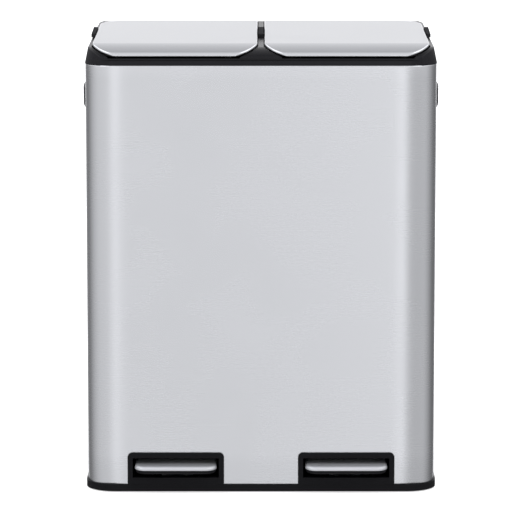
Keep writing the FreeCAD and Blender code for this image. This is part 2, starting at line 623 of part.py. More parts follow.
piece("cover_screws", group("CoverScrews", [
    screw(f"CoverScrew{i}", x, coverScrewY, "deckUnder - screwHeadTall", "z", 1)
    for i, x in enumerate(coverScrewX)]))


# ---------------------------------------------------------------- lids, left one first
lidX = ("-lidOuter", "-lidCentreGap")


def lidPlan(name, inset):
    """The lid's outline seen from above, drawn in by an inset."""
    return column(name, (f"{lidX[0]} + {inset}", f"{lidX[1]} - {inset}"),
                  (f"lidFront + {inset}", f"lidRear - {inset}"),
                  ("sleeveTop", "lidTopRear + 40"),
                  [(corner(0, -1), f"lidCorner - {inset}"), (corner(-1, 1), f"lidRearCorner - {inset}/2"),
                   (corner(1, 1), f"lidInnerCorner - {inset}/2")])


wholeLid = ("-lidOuter - 1", "-lidCentreGap + 1")
behindLid = "lidRear + 5"
skinTop = underLid("SkinTop", wholeLid, rear=behindLid)
skinLow = underLid("SkinLow", ("-lidOuter - 2", "-lidCentreGap + 2"), drop="hemDepth", rear="lidRear + 6",
                   low="sleeveBottom - 1")
skinBlank = common("SkinBlank", lidPlan("LidPlan", "0"), skinTop)


def topAt(y):
    """Height of the lid's top surface at a place along Y."""
    if y < number("edgeY - edgeRadius*sin(noseAngle)"):
        radius, away = number("edgeRadius"), y - number("edgeY")
        return number("edgeZ") + math.sqrt(max(radius ** 2 - away ** 2, 0))
    if y < number("crestY"):
        radius, away = number("noseRadius"), y - number("noseY")
        return number("noseZ") + math.sqrt(max(radius ** 2 - away ** 2, 0))
    return number("crestZ") + (y - number("crestY")) * math.tan(math.radians(number("lidSlope")))


def isLidRim(edge):
    """An edge of the outline on the lid's top, not a seam that crosses it."""
    first, last = edge.ParameterRange
    spots = [edge.valueAt(first + (last - first) * share) for share in (0.1, 0.5, 0.9)]
    onTop = all(abs(spot.z - topAt(spot.y)) < 0.05 for spot in spots)
    middle = edge.CenterOfMass.y
    isSeam = (isAlong(edge, FreeCAD.Vector(1, 0, 0))
              and number("lidFront") + 0.5 < middle < number("lidRear") - 0.5)
    return onTop and not isSeam


skinOuter = cut("SkinOuter", softened("SkinSoft", skinBlank, "lidEdge", isLidRim), [skinLow])
skinCavity = common("SkinCavity", lidPlan("SkinPlan", "lidSkin"),
                    underLid("SkinInside", wholeLid, inset="lidSkin", rear=behindLid))
pair("lid_skin", cut("LidSkin", skinOuter, [skinCavity]))

linerTop = underLid("LinerTop", wholeLid, inset="lidSkin", rear=behindLid)
linerLow = underLid("LinerLow", ("-lidOuter - 2", "-lidCentreGap + 2"), drop="linerDrop", rear="lidRear + 6",
                    low="sleeveBottom - 1")
linerBlank = common("LinerBlank", lidPlan("LinerPlan", "linerInset"), cut("LinerBand", linerTop, [linerLow]))
hollowLow = underLid("HollowLow", ("-lidOuter - 2", "-lidCentreGap + 2"), drop="(linerDrop - linerWall)",
                     rear="lidRear + 6", low="sleeveBottom - 1")
hollowTop = underLid("HollowTop", wholeLid, rear=behindLid)
hollow = common("LinerHollow", lidPlan("HollowPlan", "(linerInset + linerWall)"),
                cut("HollowBand", hollowTop, [hollowLow]))
knuckleX = [f"-(pedalCentre {sign} knuckleSpan)" for sign in "+-"]
knuckles = []
for i, x in enumerate(knuckleX):
    knuckles += [barrel(f"Knuckle{i}", x, "knuckleWidth"),
                 block(f"KnuckleWeb{i}", (f"{x} - knuckleWidth/2", f"{x} + knuckleWidth/2"),
                       ("lidRear - linerInset - linerWall/2", "hingeY"),
                       ("hingeZ - barrelRadius*0.6", "hingeZ + barrelRadius*0.7"))]
lugHalf = "lugWidth/2"
lug = [
    rod("LugRound", "barrelRadius", "lugWidth", f"{centre} - {lugHalf}", "hingeY", "hingeZ", "x"),
    rod("LugEnd", "lugEnd", "lugWidth", f"{centre} - {lugHalf}", "crankY", "crankZ", "x"),
    sideShape("LugPlate", [
        ("hingeY - barrelRadius*0.6", "hingeZ - barrelRadius*0.8"), ("hingeY", "hingeZ + barrelRadius*0.7"),
        ("hingeY - linerInset - hingeSet", "hingeZ + barrelRadius*0.7"),
        ("crankY - lugEnd*2.6", "hingeZ + linerWall/2"),
        ("crankY - lugEnd*0.9", "crankZ - lugEnd*0.4"), ("crankY + lugEnd*0.3", "crankZ - lugEnd*0.95"),
    ], (f"{centre} - {lugHalf}", f"{centre} + {lugHalf}")),
]
linerShell = cut("LinerShell", linerBlank, [hollow])
pair("lid_liner", cut("LidLiner", join("LinerSolid", [linerShell, *knuckles, *lug]), [
    rod("LinerBore", "pinRadius + pinGap", "lidWidth", "-lidOuter", "hingeY", "hingeZ", "x"),
    rod("LugBore", "crankPin + pinGap/2", "lugWidth*2", f"{centre} - lugWidth", "crankY", "crankZ", "x")]))
pair("crank_pin", rod("CrankPin", "crankPin", "headWide", f"{centre} - headWide/2", "crankY", "crankZ", "x"))
pinHalf = "(knuckleSpan + knuckleWidth/2 + postGap + postWidth + pinOver)"
pair("hinge_pin", rod("HingePin", "pinRadius", f"2*{pinHalf}", f"{centre} - {pinHalf}", "hingeY", "hingeZ",
                      "x"))

bumperX = ["-lidOuter + bumperSide", "-lidCentreGap - bumperSide"]
bumperToe = "(bumperY - bumperRadius - noseY)"
bumperTop = f"(noseZ + sqrt(noseRadius*noseRadius - {bumperToe}*{bumperToe}) - linerDrop)"
bumpers = [rod(f"Bumper{i}", "bumperRadius", f"{bumperTop} - deckTop - fitGap", x, "bumperY", "deckTop")
           for i, x in enumerate(bumperX)]
piece("lid_bumpers", group("LidBumpers", [*bumpers, *[mirrored(f"BumperRight{i}", item)
                                                     for i, item in enumerate(bumpers)]]))


# ---------------------------------------------------------------- pedals, left one first
frameFlange = column("FrameFlange", (f"{centre} - frameWidth/2", f"{centre} + frameWidth/2"),
                     ("front - frameProud", "front"), ("sleeveBottom", "frameTop"), [])
neckHalf = "(frameWidth/2 - frameLap - fitGap)"
frameNeck = block("FrameNeck", (f"{centre} - {neckHalf}", f"{centre} + {neckHalf}"),
                  ("front", "front + frameDeep"), ("sleeveBottom", "frameTop - frameLap - fitGap"))
frameHole = block("FrameHole", (f"{centre} - openWidth/2", f"{centre} + openWidth/2"),
                  ("front - frameProud - 1", "front + frameDeep + 1"), ("openLow", "openHigh"))
doc.recompute()
flangeTop = softened("FlangeTop", frameFlange, "frameCorner", lambda edge: isAlong(
    edge, FreeCAD.Vector(0, 1, 0)) and edge.CenterOfMass.z > number("openHigh"))
pair("pedal_frame", cut("PedalFrame", join("FrameSolid", [flangeTop, frameNeck]), [frameHole]))

pedalY = ("front - pedalReach", "front + pedalInside")
plateUnder = "(pedalTop - plateDrop)"


def pedalSlab(name, inset, z):
    """A plate in the pedal's outline with rounded front corners, drawn in at the front and the sides."""
    return column(name, (f"{centre} - pedalWidth/2 + {inset}", f"{centre} + pedalWidth/2 - {inset}"),
                  (f"{pedalY[0]} + {inset}", pedalY[1]), z, [(corner(0, -1), f"pedalCorner - {inset}")])


plateBlank = pedalSlab("PlateBlank", "0", (plateUnder, "pedalTop"))
doc.recompute()
plateRounded = softened("PlateRounded", plateBlank, "noseRound", lambda edge: not isAlong(edge, upward)
                        and edge.BoundBox.ZMin > number("pedalTop") - 0.01
                        and edge.CenterOfMass.y < number(pedalY[1]) - 1)
pair("pedal_plate", cut("PedalPlate", plateRounded, [
    pedalSlab("PlateInside", "plateWall", (f"{plateUnder} - 1", "pedalTop - plateWall"))]))
tongueSlot = block("TongueSlot", (f"{centre} - leverWidth/2 - screwGap",
                                  f"{centre} + leverWidth/2 + screwGap"),
                   ("front + leverFront - screwGap", "front + pedalInside + 1"),
                   (f"{plateUnder} - padDrop - 1", "leverTop + screwGap/2"))
pedalScrewSpots = [(f"{centre} - leverWidth/4", "A"), (f"{centre} + leverWidth/4", "B")]
pedalScrewY = "front + (leverFront + pedalInside)/2"
tongueUnder = "(leverTop - tongueThick)"


def pedalScrewHole(name, x):
    return rod(name, "screwRadius + screwGap", "tongueThick + screwLong/2", x, pedalScrewY,
               f"{tongueUnder} - 1")


pair("pedal_pad", cut("PedalPad", join("PadSolid", [
    pedalSlab("PadLow", "plateWall/2", (f"{plateUnder} - padDrop", plateUnder)),
    pedalSlab("PadCore", "(plateWall + fitGap/3)", (f"{plateUnder} - padDrop",
                                                    "pedalTop - plateWall - fitGap/6")),
]), [tongueSlot, *[pedalScrewHole(f"PadHole{tag}", x) for x, tag in pedalScrewSpots]]))
leverX = (f"{centre} - leverWidth/2", f"{centre} + leverWidth/2")
leverEnd = "rodY + rodFootRadius + 3"
leverSide = sideShape("LeverSide", [
    ("front + leverFront", "leverTop"), ("front + leverFront", tongueUnder),
    ("front + leverSlope", tongueUnder),
    ("front + leverKnee", "leverTop - leverDeep"), (leverEnd, "leverTop - leverDeep"),
    (leverEnd, "leverTop")], leverX)
leverChannel = block("LeverChannel", (f"{centre} - leverWidth/2 + leverWall",
                                      f"{centre} + leverWidth/2 - leverWall"),
                     ("front + leverSlope", "rodY + rodFootRadius + 4"),
                     ("leverTop - leverDeep - 1", "leverTop - leverWall"))
pair("pedal_lever", cut("PedalLever", leverSide, [
    leverChannel, rod("LeverBore", "axleRadius + pinGap", "leverWidth*2", f"{centre} - leverWidth", "pivotY",
                      "pivotHeight", "x"),
    *[pedalScrewHole(f"TongueHole{tag}", x) for x, tag in pedalScrewSpots]]))
pair("pedal_screws", group("PedalScrews", [
    join(f"PedalScrew{tag}", [
        rod(f"PedalScrewHead{tag}", "screwHead", "screwHeadTall", x, pedalScrewY,
            f"{tongueUnder} - screwHeadTall"),
        rod(f"PedalScrewShank{tag}", "screwRadius", "tongueThick + 3", x, pedalScrewY, f"{tongueUnder}")])
    for x, tag in pedalScrewSpots]))

earX = "(leverWidth/2 + earGap)"
bracketParts = [block("BracketPlate", (f"{centre} - bracketWide/2", f"{centre} + bracketWide/2"),
                      ("pivotY - bracketLong/2", "pivotY + bracketLong/2"),
                      ("floorTop", "floorTop + bracketThick"))]
for tag, low in (("A", f"{centre} - {earX} - earThick"), ("B", f"{centre} + {earX}")):
    bracketParts += [block(f"Ear{tag}", (low, f"{low} + earThick"),
                           ("pivotY - earRadius", "pivotY + earRadius"),
                           ("floorTop", "pivotHeight")),
                     rod(f"EarTop{tag}", "earRadius", "earThick", low, "pivotY", "pivotHeight", "x")]
pair("pivot_bracket", cut("PivotBracket", join("BracketSolid", bracketParts), [
    rod("EarBore", "axleRadius + pinGap", "leverWidth*3", f"{centre} - leverWidth*1.5", "pivotY",
        "pivotHeight", "x"),
    *[screwHole(f"BracketHole{i}", f"{centre} {turn} ({bracketScrewX})", "pivotY", "floorTop", "z")
      for i, turn in enumerate("-+")]]))
axleHalf = f"({earX} + earThick + pinGap)"
pair("lever_axle", join("LeverAxle", [
    rod("AxleBar", "axleRadius", f"2*({axleHalf} + axleHead)", f"{centre} - {axleHalf} - axleHead", "pivotY",
        "pivotHeight", "x"),
    rod("AxleHeadA", "axleHeadRadius", "axleHead", f"{centre} - {axleHalf} - axleHead", "pivotY",
        "pivotHeight", "x"),
    rod("AxleHeadB", "axleHeadRadius", "axleHead", f"{centre} + {axleHalf}", "pivotY", "pivotHeight", "x")]))
bracketScrewsLeft = [
    join(f"BracketScrew{i}", [
        rod(f"BracketScrewHead{i}", "screwHead", "screwHeadTall", f"{centre} {turn} ({bracketScrewX})",
            "pivotY",
            "floorTop + bracketThick"),
        rod(f"BracketScrewShank{i}", "screwRadius", "bracketThick + baseFloor - 0.2",
            f"{centre} {turn} ({bracketScrewX})", "pivotY", "footHeight + 0.2")])
    for i, turn in enumerate("-+")]
piece("bracket_screws", group("BracketScrews", [
    *bracketScrewsLeft,
    *[mirrored(f"BracketScrewRight{i}", item) for i, item in enumerate(bracketScrewsLeft)]]))


# ---------------------------------------------------------------- push rods, clips and dampers
def upright(name, radius, low, high, x=centre, y="rodY"):
    return rod(name, radius, f"({high}) - ({low})", x, y, low)


rodTop = "crankZ - lugSlot - fitGap"
pair("push_rod", upright("PushRod", "rodRadius", "rodBottom", rodTop))
pair("rod_foot", cut("RodFoot", upright("FootOuter", "rodFootRadius", "leverTop + fitGap*2",
                                        "leverTop + fitGap*2 + footTall"),
                     [upright("FootBore", "rodRadius + screwGap/4", "rodBottom", "leverTop + footTall + 9")]))
headZ = ("crankZ - headBelow", "crankZ + headAbove")
pair("rod_head", cut("RodHead", block("HeadBlock", (f"{centre} - headWide/2", f"{centre} + headWide/2"),
                                      ("rodY - headLong/2", "rodY + headLong/2"), headZ), [
    block("LugSlot", (f"{centre} - lugWidth/2 - cheekGap", f"{centre} + lugWidth/2 + cheekGap"),
          ("rodY - headLong", "rodY + headLong"), ("crankZ - lugSlot", "crankZ + headAbove + 1")),
    block("PinSlot", (f"{centre} - headWide", f"{centre} + headWide"), ("rodY - slotHalf", "rodY + slotHalf"),
          ("crankZ - crankPin - slotGap", "crankZ + crankPin + slotGap")),
    upright("HeadBore", "rodRadius + screwGap/4", "crankZ - headBelow - 1", "crankZ - lugSlot + 1")]))

clipCuts = [(-1, "A"), (1, "B")]
for level, z in (("lower", "clipLow"), ("upper", "clipHigh")):
    tag = level.title()
    plate = block(f"ClipPlate{tag}", (f"{centre} - clipWide/2", f"{centre} + clipWide/2"),
                  ("rodY - clipReach", "backInside"), (z, f"{z} + clipThick"))
    tab = block(f"ClipTab{tag}", (f"{centre} - clipWide/2", f"{centre} + clipWide/2"),
                ("backInside - clipThick", "backInside"), (z, f"{z} + clipThick + clipTab"))
    holes = [rod(f"ClipRodHole{tag}", "rodRadius + screwGap*2", "clipThick*3", centre, "rodY",
                 f"{z} - clipThick"),
             *[rod(f"ClipRivetHole{tag}{end}", "screwRadius + screwGap", "clipThick*4",
                   f"{centre} {'-' if side < 0 else '+'} clipWide/3", "backInside - clipThick*2",
                   f"{z} + clipThick + clipTab/2", "y") for side, end in clipCuts]]
    if level == "upper":
        holes.append(rod("ClipPlungerHole", "plungerRadius + screwGap*2", "clipThick*3",
                         f"{centre} - damperOff",
                         "damperY", f"{z} - clipThick"))
    pair(f"rod_clip_{level}", cut(f"RodClip{tag}", join(f"ClipSolid{tag}", [plate, tab]), holes))
rivets = []
for tag, z in (("Lower", "clipLow"), ("Upper", "clipHigh")):
    for side, end in clipCuts:
        x = f"{centre} {'-' if side < 0 else '+'} clipWide/3"
        height = f"{z} + clipThick + clipTab/2"
        rivets.append(join(f"Rivet{tag}{end}", [
            rod(f"RivetHead{tag}{end}", "screwHead", "screwHeadTall/2", x, "back", height, "y"),
            rod(f"RivetShank{tag}{end}", "screwRadius", "clipThick + bodyWall", x, "backInside - clipThick",
                height, "y"),
            rod(f"RivetTail{tag}{end}", "screwHead*0.8", "screwHeadTall", x,
                "backInside - clipThick - screwHeadTall",
                height, "y")]))
piece("clip_rivets", group("ClipRivets", [*rivets, *[mirrored(f"RivetRight{i}", item)
                                                    for i, item in enumerate(rivets)]]))

damperX = f"{centre} - damperOff"
damperLow = "(clipHigh - damperLong)"
pair("damper_body", cut("DamperBody", upright("DamperTube", "damperRadius", damperLow, "clipHigh", damperX,
                                              "damperY"), [
    upright("DamperBore", "plungerRadius + screwGap", f"{damperLow} + 4", "clipHigh + 1", damperX,
            "damperY")]))
armZ = ("armHeight", "armHeight + armThick")
pair("damper_plunger", upright("DamperPlunger", "plungerRadius", f"{damperLow} + 6", "armHeight + armThick",
                               damperX, "damperY"))
pair("damper_arm", cut("DamperArm", join("ArmSolid", [
    block("ArmBar", (damperX, centre), ("rodY - rodRadius", "damperY + plungerRadius"), armZ),
    upright("ArmRodEnd", "rodFootRadius", *armZ),
    upright("ArmPlungerEnd", "rodFootRadius", *armZ, damperX, "damperY")]), [
    upright("ArmRodBore", "rodRadius + screwGap/4", "armHeight - 1", "armHeight + armThick + 1"),
    upright("ArmPlungerBore", "plungerRadius + screwGap/4", "armHeight - 1", "armHeight + armThick + 1",
            damperX, "damperY")]))


# ---------------------------------------------------------------- inner buckets
def bucketSolid(name, inset, low, lean):
    """A bucket-shaped block that widens upwards, drawn in by an inset."""
    body = doc.addObject("PartDesign::Body", name)
    edges = (f"-bodyWidth/2 + mouthSide + bucketGap + rimWide + {inset}",
             f"-mouthCentre - bucketGap - rimWide - {inset}",
             f"front + mouthFront + bucketGap + rimWide + {inset}",
             f"back - mouthBack - bucketGap - rimWide - {inset}")
    layers = []
    for level, height, draw in (("Low", low, lean), ("High", "bucketTop", "0")):
        x0, x1 = f"({edges[0]} + {draw})", f"({edges[1]} - {draw})"
        y0, y1 = f"({edges[2]} + {draw})", f"({edges[3]} - {draw})"
        turn = f"(bucketCorner - {inset})"
        sketch = sketchOn(body, f"{name}{level}", "XY_Plane", height)
        box = [number(item) for item in (x0, x1, y0, y1, turn)]
        drawRounded(sketch, box, (x0, x1, y0, y1, turn))
        layers.append(sketch)
    loft = body.newObject("PartDesign::AdditiveLoft", name + "Loft")
    loft.Profile = layers[0]
    loft.Sections = [layers[1]]
    loft.Ruled = True
    return body


def drawRounded(sketch, box, formulas):
    """A rectangle with four equal round corners, held by its sides' places and its radius."""
    x0, x1, y0, y1, r = box
    up = FreeCAD.Vector(0, 0, 1)
    spot = FreeCAD.Vector
    quarter = math.pi / 2
    sketch.addGeometry([
        Part.LineSegment(spot(x0 + r, y0, 0), spot(x1 - r, y0, 0)),
        Part.ArcOfCircle(Part.Circle(spot(x1 - r, y0 + r, 0), up, r), 3 * quarter, 4 * quarter),
        Part.LineSegment(spot(x1, y0 + r, 0), spot(x1, y1 - r, 0)),
        Part.ArcOfCircle(Part.Circle(spot(x1 - r, y1 - r, 0), up, r), 0, quarter),
        Part.LineSegment(spot(x1 - r, y1, 0), spot(x0 + r, y1, 0)),
        Part.ArcOfCircle(Part.Circle(spot(x0 + r, y1 - r, 0), up, r), quarter, 2 * quarter),
        Part.LineSegment(spot(x0, y1 - r, 0), spot(x0, y0 + r, 0)),
        Part.ArcOfCircle(Part.Circle(spot(x0 + r, y0 + r, 0), up, r), 2 * quarter, 3 * quarter),
    ], False)
    for i in range(8):
        sketch.addConstraint(Sketcher.Constraint("Tangent", i, 2, (i + 1) % 8, 1))
    for side, rule in ((0, "Horizontal"), (2, "Vertical"), (4, "Horizontal"), (6, "Vertical")):
        sketch.addConstraint(Sketcher.Constraint(rule, side))
    for arc in (3, 5, 7):
        sketch.addConstraint(Sketcher.Constraint("Equal", 1, arc))
    for label, rule, formula in (
        ("turn", ("Radius", 1, r), formulas[4]),
        ("fromLeft", ("DistanceX", -1, 1, 6, 1, x0), formulas[0]),
        ("toRight", ("DistanceX", -1, 1, 2, 1, x1), formulas[1]),
        ("fromFront", ("DistanceY", -1, 1, 0, 1, y0), formulas[2]),
        ("toBack", ("DistanceY", -1, 1, 4, 1, y1), formulas[3]),
    ):
        index = sketch.addConstraint(Sketcher.Constraint(*rule))
        sketch.renameConstraint(index, label)
        sketch.setExpression("Constraints." + label, linked(formula))


bucketOuter = bucketSolid("BucketOuter", "0", "bucketRest", "bucketTaper")
bucketInner = bucketSolid("BucketInner", "bucketWall", "(bucketRest + bucketFloor)", "bucketTaper")
rim = column("BucketRim", ("-bodyWidth/2 + mouthSide + bucketGap", "-mouthCentre - bucketGap"),
             ("front + mouthFront + bucketGap", "back - mouthBack - bucketGap"),
             ("bucketTop - rimTall", "bucketTop"), [(corner(), "mouthCorner - bucketGap")])
rimUnder = column("RimUnder", ("-bodyWidth/2 + mouthSide + bucketGap + bucketWall",
                               "-mouthCentre - bucketGap - bucketWall"),
                  ("front + mouthFront + bucketGap + bucketWall",
                   "back - mouthBack - bucketGap - bucketWall"),
                  ("bucketTop - rimTall - 1", "bucketTop - bucketWall"),
                  [(corner(), "mouthCorner - bucketGap - bucketWall")])
bucketWithRim = join("BucketWithRim", [bucketOuter, cut("RimLip", rim, [rimUnder])])
pair("bucket", cut("Bucket", bucketWithRim, [bucketInner]))


# ---------------------------------------------------------------- side handles
handleY = ("(front + back)/2 - handleLong/2", "(front + back)/2 + handleLong/2")
handleOut = "(-bodyWidth/2 - handleReach)"
handleBlock = block("HandleBlock", (handleOut, "-bodyWidth/2"), handleY,
                    ("handleTop - handleTall", "handleTop"))
handleSoft = softened("HandleSoft", handleBlock, "handleRound",
                      lambda edge: edge.CenterOfMass.x < number("-bodyWidth/2") - 1)
handleGap = block("HandleGap", (f"{handleOut} + handleBar", "-bodyWidth/2 + 1"),
                  (f"{handleY[0]} + handlePad", f"{handleY[1]} - handlePad"),
                  ("handleTop - handleTall - 1", "handleTop + 1"))
handleBores = [rod(f"HandleBore{i}", "screwRadius + screwGap", "screwLong",
                   "-bodyWidth/2 - screwLong + bodyWall", y,
                   handleScrewZ, "x") for i, y in enumerate(handleScrewY)]
pair("side_handle", cut("SideHandle", handleSoft, [handleGap, *handleBores]))
handleScrewsLeft = [screw(f"HandleScrew{i}", "-bodyWidth/2 + bodyWall + screwHeadTall", y, handleScrewZ,
                          "x", -1)
                    for i, y in enumerate(handleScrewY)]
piece("handle_screws", group("HandleScrews", [
    *handleScrewsLeft, *[mirrored(f"HandleScrewRight{i}", item) for i, item in enumerate(handleScrewsLeft)]]))
piece("back_screws", group("BackScrews", [
    screw(f"BackScrew{i}{j}", x, "back + screwHeadTall", z, "y", -1)
    for i, x in enumerate(backScrewX) for j, z in enumerate(backScrewZ)]))


# ---------------------------------------------------------------- build, check and write
doc.recompute()
failed = [item.Name for item in doc.Objects if {"Invalid", "Error"} & set(item.State)]
if failed:
    raise RuntimeError("these objects failed: " + ", ".join(failed))
os.makedirs("parts", exist_ok=True)
for node, thing in pieces.items():
    shape = thing.Shape
    if shape.isNull() or not shape.isValid() or not shape.Solids:
        raise RuntimeError(f"{node} has no valid solid")
    shape.exportStep(f"parts/{node}.step")
    print(f"{node}: {len(shape.Solids)} solids, {shape.Volume / 1000:.1f} cm3")
print(len(pieces), "nodes")
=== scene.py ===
import json
import math

import bmesh
import bpy
import numpy as np
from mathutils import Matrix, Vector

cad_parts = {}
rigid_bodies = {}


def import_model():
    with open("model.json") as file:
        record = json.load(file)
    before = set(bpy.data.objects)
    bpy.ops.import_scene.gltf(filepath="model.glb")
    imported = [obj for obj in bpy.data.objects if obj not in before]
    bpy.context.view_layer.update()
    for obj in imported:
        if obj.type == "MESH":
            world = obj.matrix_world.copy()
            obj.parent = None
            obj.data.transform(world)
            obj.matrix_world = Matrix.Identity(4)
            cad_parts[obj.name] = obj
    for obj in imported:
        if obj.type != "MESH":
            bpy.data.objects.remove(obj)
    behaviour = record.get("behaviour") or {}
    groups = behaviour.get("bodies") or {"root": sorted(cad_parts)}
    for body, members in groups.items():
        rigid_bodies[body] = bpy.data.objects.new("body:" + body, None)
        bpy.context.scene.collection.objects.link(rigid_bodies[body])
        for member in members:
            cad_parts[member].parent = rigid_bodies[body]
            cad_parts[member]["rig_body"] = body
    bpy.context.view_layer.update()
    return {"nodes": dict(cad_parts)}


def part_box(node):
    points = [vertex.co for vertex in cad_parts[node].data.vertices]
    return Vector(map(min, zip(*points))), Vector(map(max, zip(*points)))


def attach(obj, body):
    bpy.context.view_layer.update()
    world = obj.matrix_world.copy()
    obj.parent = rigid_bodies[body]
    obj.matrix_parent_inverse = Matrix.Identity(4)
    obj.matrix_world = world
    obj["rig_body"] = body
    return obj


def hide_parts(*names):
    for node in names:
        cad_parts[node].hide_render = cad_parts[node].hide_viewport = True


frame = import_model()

nodes = frame["nodes"]
mm = 0.001
weldGap = 1e-6  # points nearer than this, in metres, are one
foldAngle = 35  # degrees from which a fold has a sharp edge
sides = {"left": -1, "right": 1}
print("frame read:", len(nodes), "nodes")


# makes a node group with its inputs and outputs, and nothing between them yet
def newGroup(name, inputs, outputs):
    group = bpy.data.node_groups.new(name, "ShaderNodeTree")
    for label, kind, value in inputs:
        socket = group.interface.new_socket(label, in_out="INPUT", socket_type="NodeSocket" + kind)
        socket.default_value = value
    for label in outputs:
        group.interface.new_socket(label, in_out="OUTPUT", socket_type="NodeSocketFloat")
    return group, group.nodes.new("NodeGroupInput"), group.nodes.new("NodeGroupOutput")


def addNode(tree, kind, **settings):
    node = tree.nodes.new("ShaderNode" + kind)
    for key, value in settings.items():
        setattr(node, key, value)
    return node


# a maths node, of which each side is a number or an output socket
def addMath(tree, operation, first, second, clamp=False):
    node = addNode(tree, "Math", operation=operation, use_clamp=clamp)
    for socket, value in zip(node.inputs, (first, second)):
        if isinstance(value, (int, float)):
            socket.default_value = value
        else:
            tree.links.new(value, socket)
    return node.outputs[0]


# long fine lines: noise stretched by a different amount along each axis, in two widths
def makeBrushGroup():
    inputs = [("Place", "Vector", (0, 0, 0)), ("Stretch", "Vector", (2, 2, 900))]
    group, given, out = newGroup("brushLines", inputs, ["Lines", "Streaks"])
    spread = addNode(group, "VectorMath", operation="MULTIPLY")
    group.links.new(given.outputs["Place"], spread.inputs[0])
    group.links.new(given.outputs["Stretch"], spread.inputs[1])
    for label, scale, detail in (("Lines", 1.0, 4.0), ("Streaks", 0.17, 2.0)):
        noise = addNode(group, "TexNoise")
        noise.inputs["Scale"].default_value = scale
        noise.inputs["Detail"].default_value = detail
        noise.inputs["Roughness"].default_value = 0.6
        group.links.new(spread.outputs[0], noise.inputs["Vector"])
        group.links.new(noise.outputs[0], out.inputs[label])
    return group


# soft cloudy patches, as hands and cloths leave them on a wiped surface
def makeWearGroup():
    contrast, offset = 1.8, -0.4
    inputs = [("Place", "Vector", (0, 0, 0)), ("Size", "Float", 0.12)]
    group, given, out = newGroup("handWear", inputs, ["Smudge"])
    size = addMath(group, "DIVIDE", 1.0, given.outputs["Size"])
    noise = addNode(group, "TexNoise")
    noise.inputs["Detail"].default_value = 3.0
    noise.inputs["Distortion"].default_value = 0.6
    group.links.new(given.outputs["Place"], noise.inputs["Vector"])
    group.links.new(size, noise.inputs["Scale"])
    sharper = addMath(group, "MULTIPLY_ADD", noise.outputs[0], contrast, clamp=True)
    sharper.node.inputs[2].default_value = offset
    group.links.new(sharper, out.inputs["Smudge"])
    return group


# the even pebbling of a spark-eroded mould: small cells and softer noise, added and scaled back
def makeMouldGroup():
    scaleBack = 0.6
    inputs = [("Place", "Vector", (0, 0, 0)), ("Size", "Float", 0.0006)]
    group, given, out = newGroup("mouldGrain", inputs, ["Pebbles"])
    size = addMath(group, "DIVIDE", 1.0, given.outputs["Size"])
    cells = addNode(group, "TexVoronoi", feature="SMOOTH_F1")
    noise = addNode(group, "TexNoise")
    for texture in (cells, noise):
        group.links.new(given.outputs["Place"], texture.inputs["Vector"])
        group.links.new(size, texture.inputs["Scale"])
    both = addMath(group, "ADD", cells.outputs["Distance"], noise.outputs[0])
    group.links.new(addMath(group, "MULTIPLY", both, scaleBack), out.inputs["Pebbles"])
    return group


brushLines, handWear, mouldGrain = makeBrushGroup(), makeWearGroup(), makeMouldGroup()

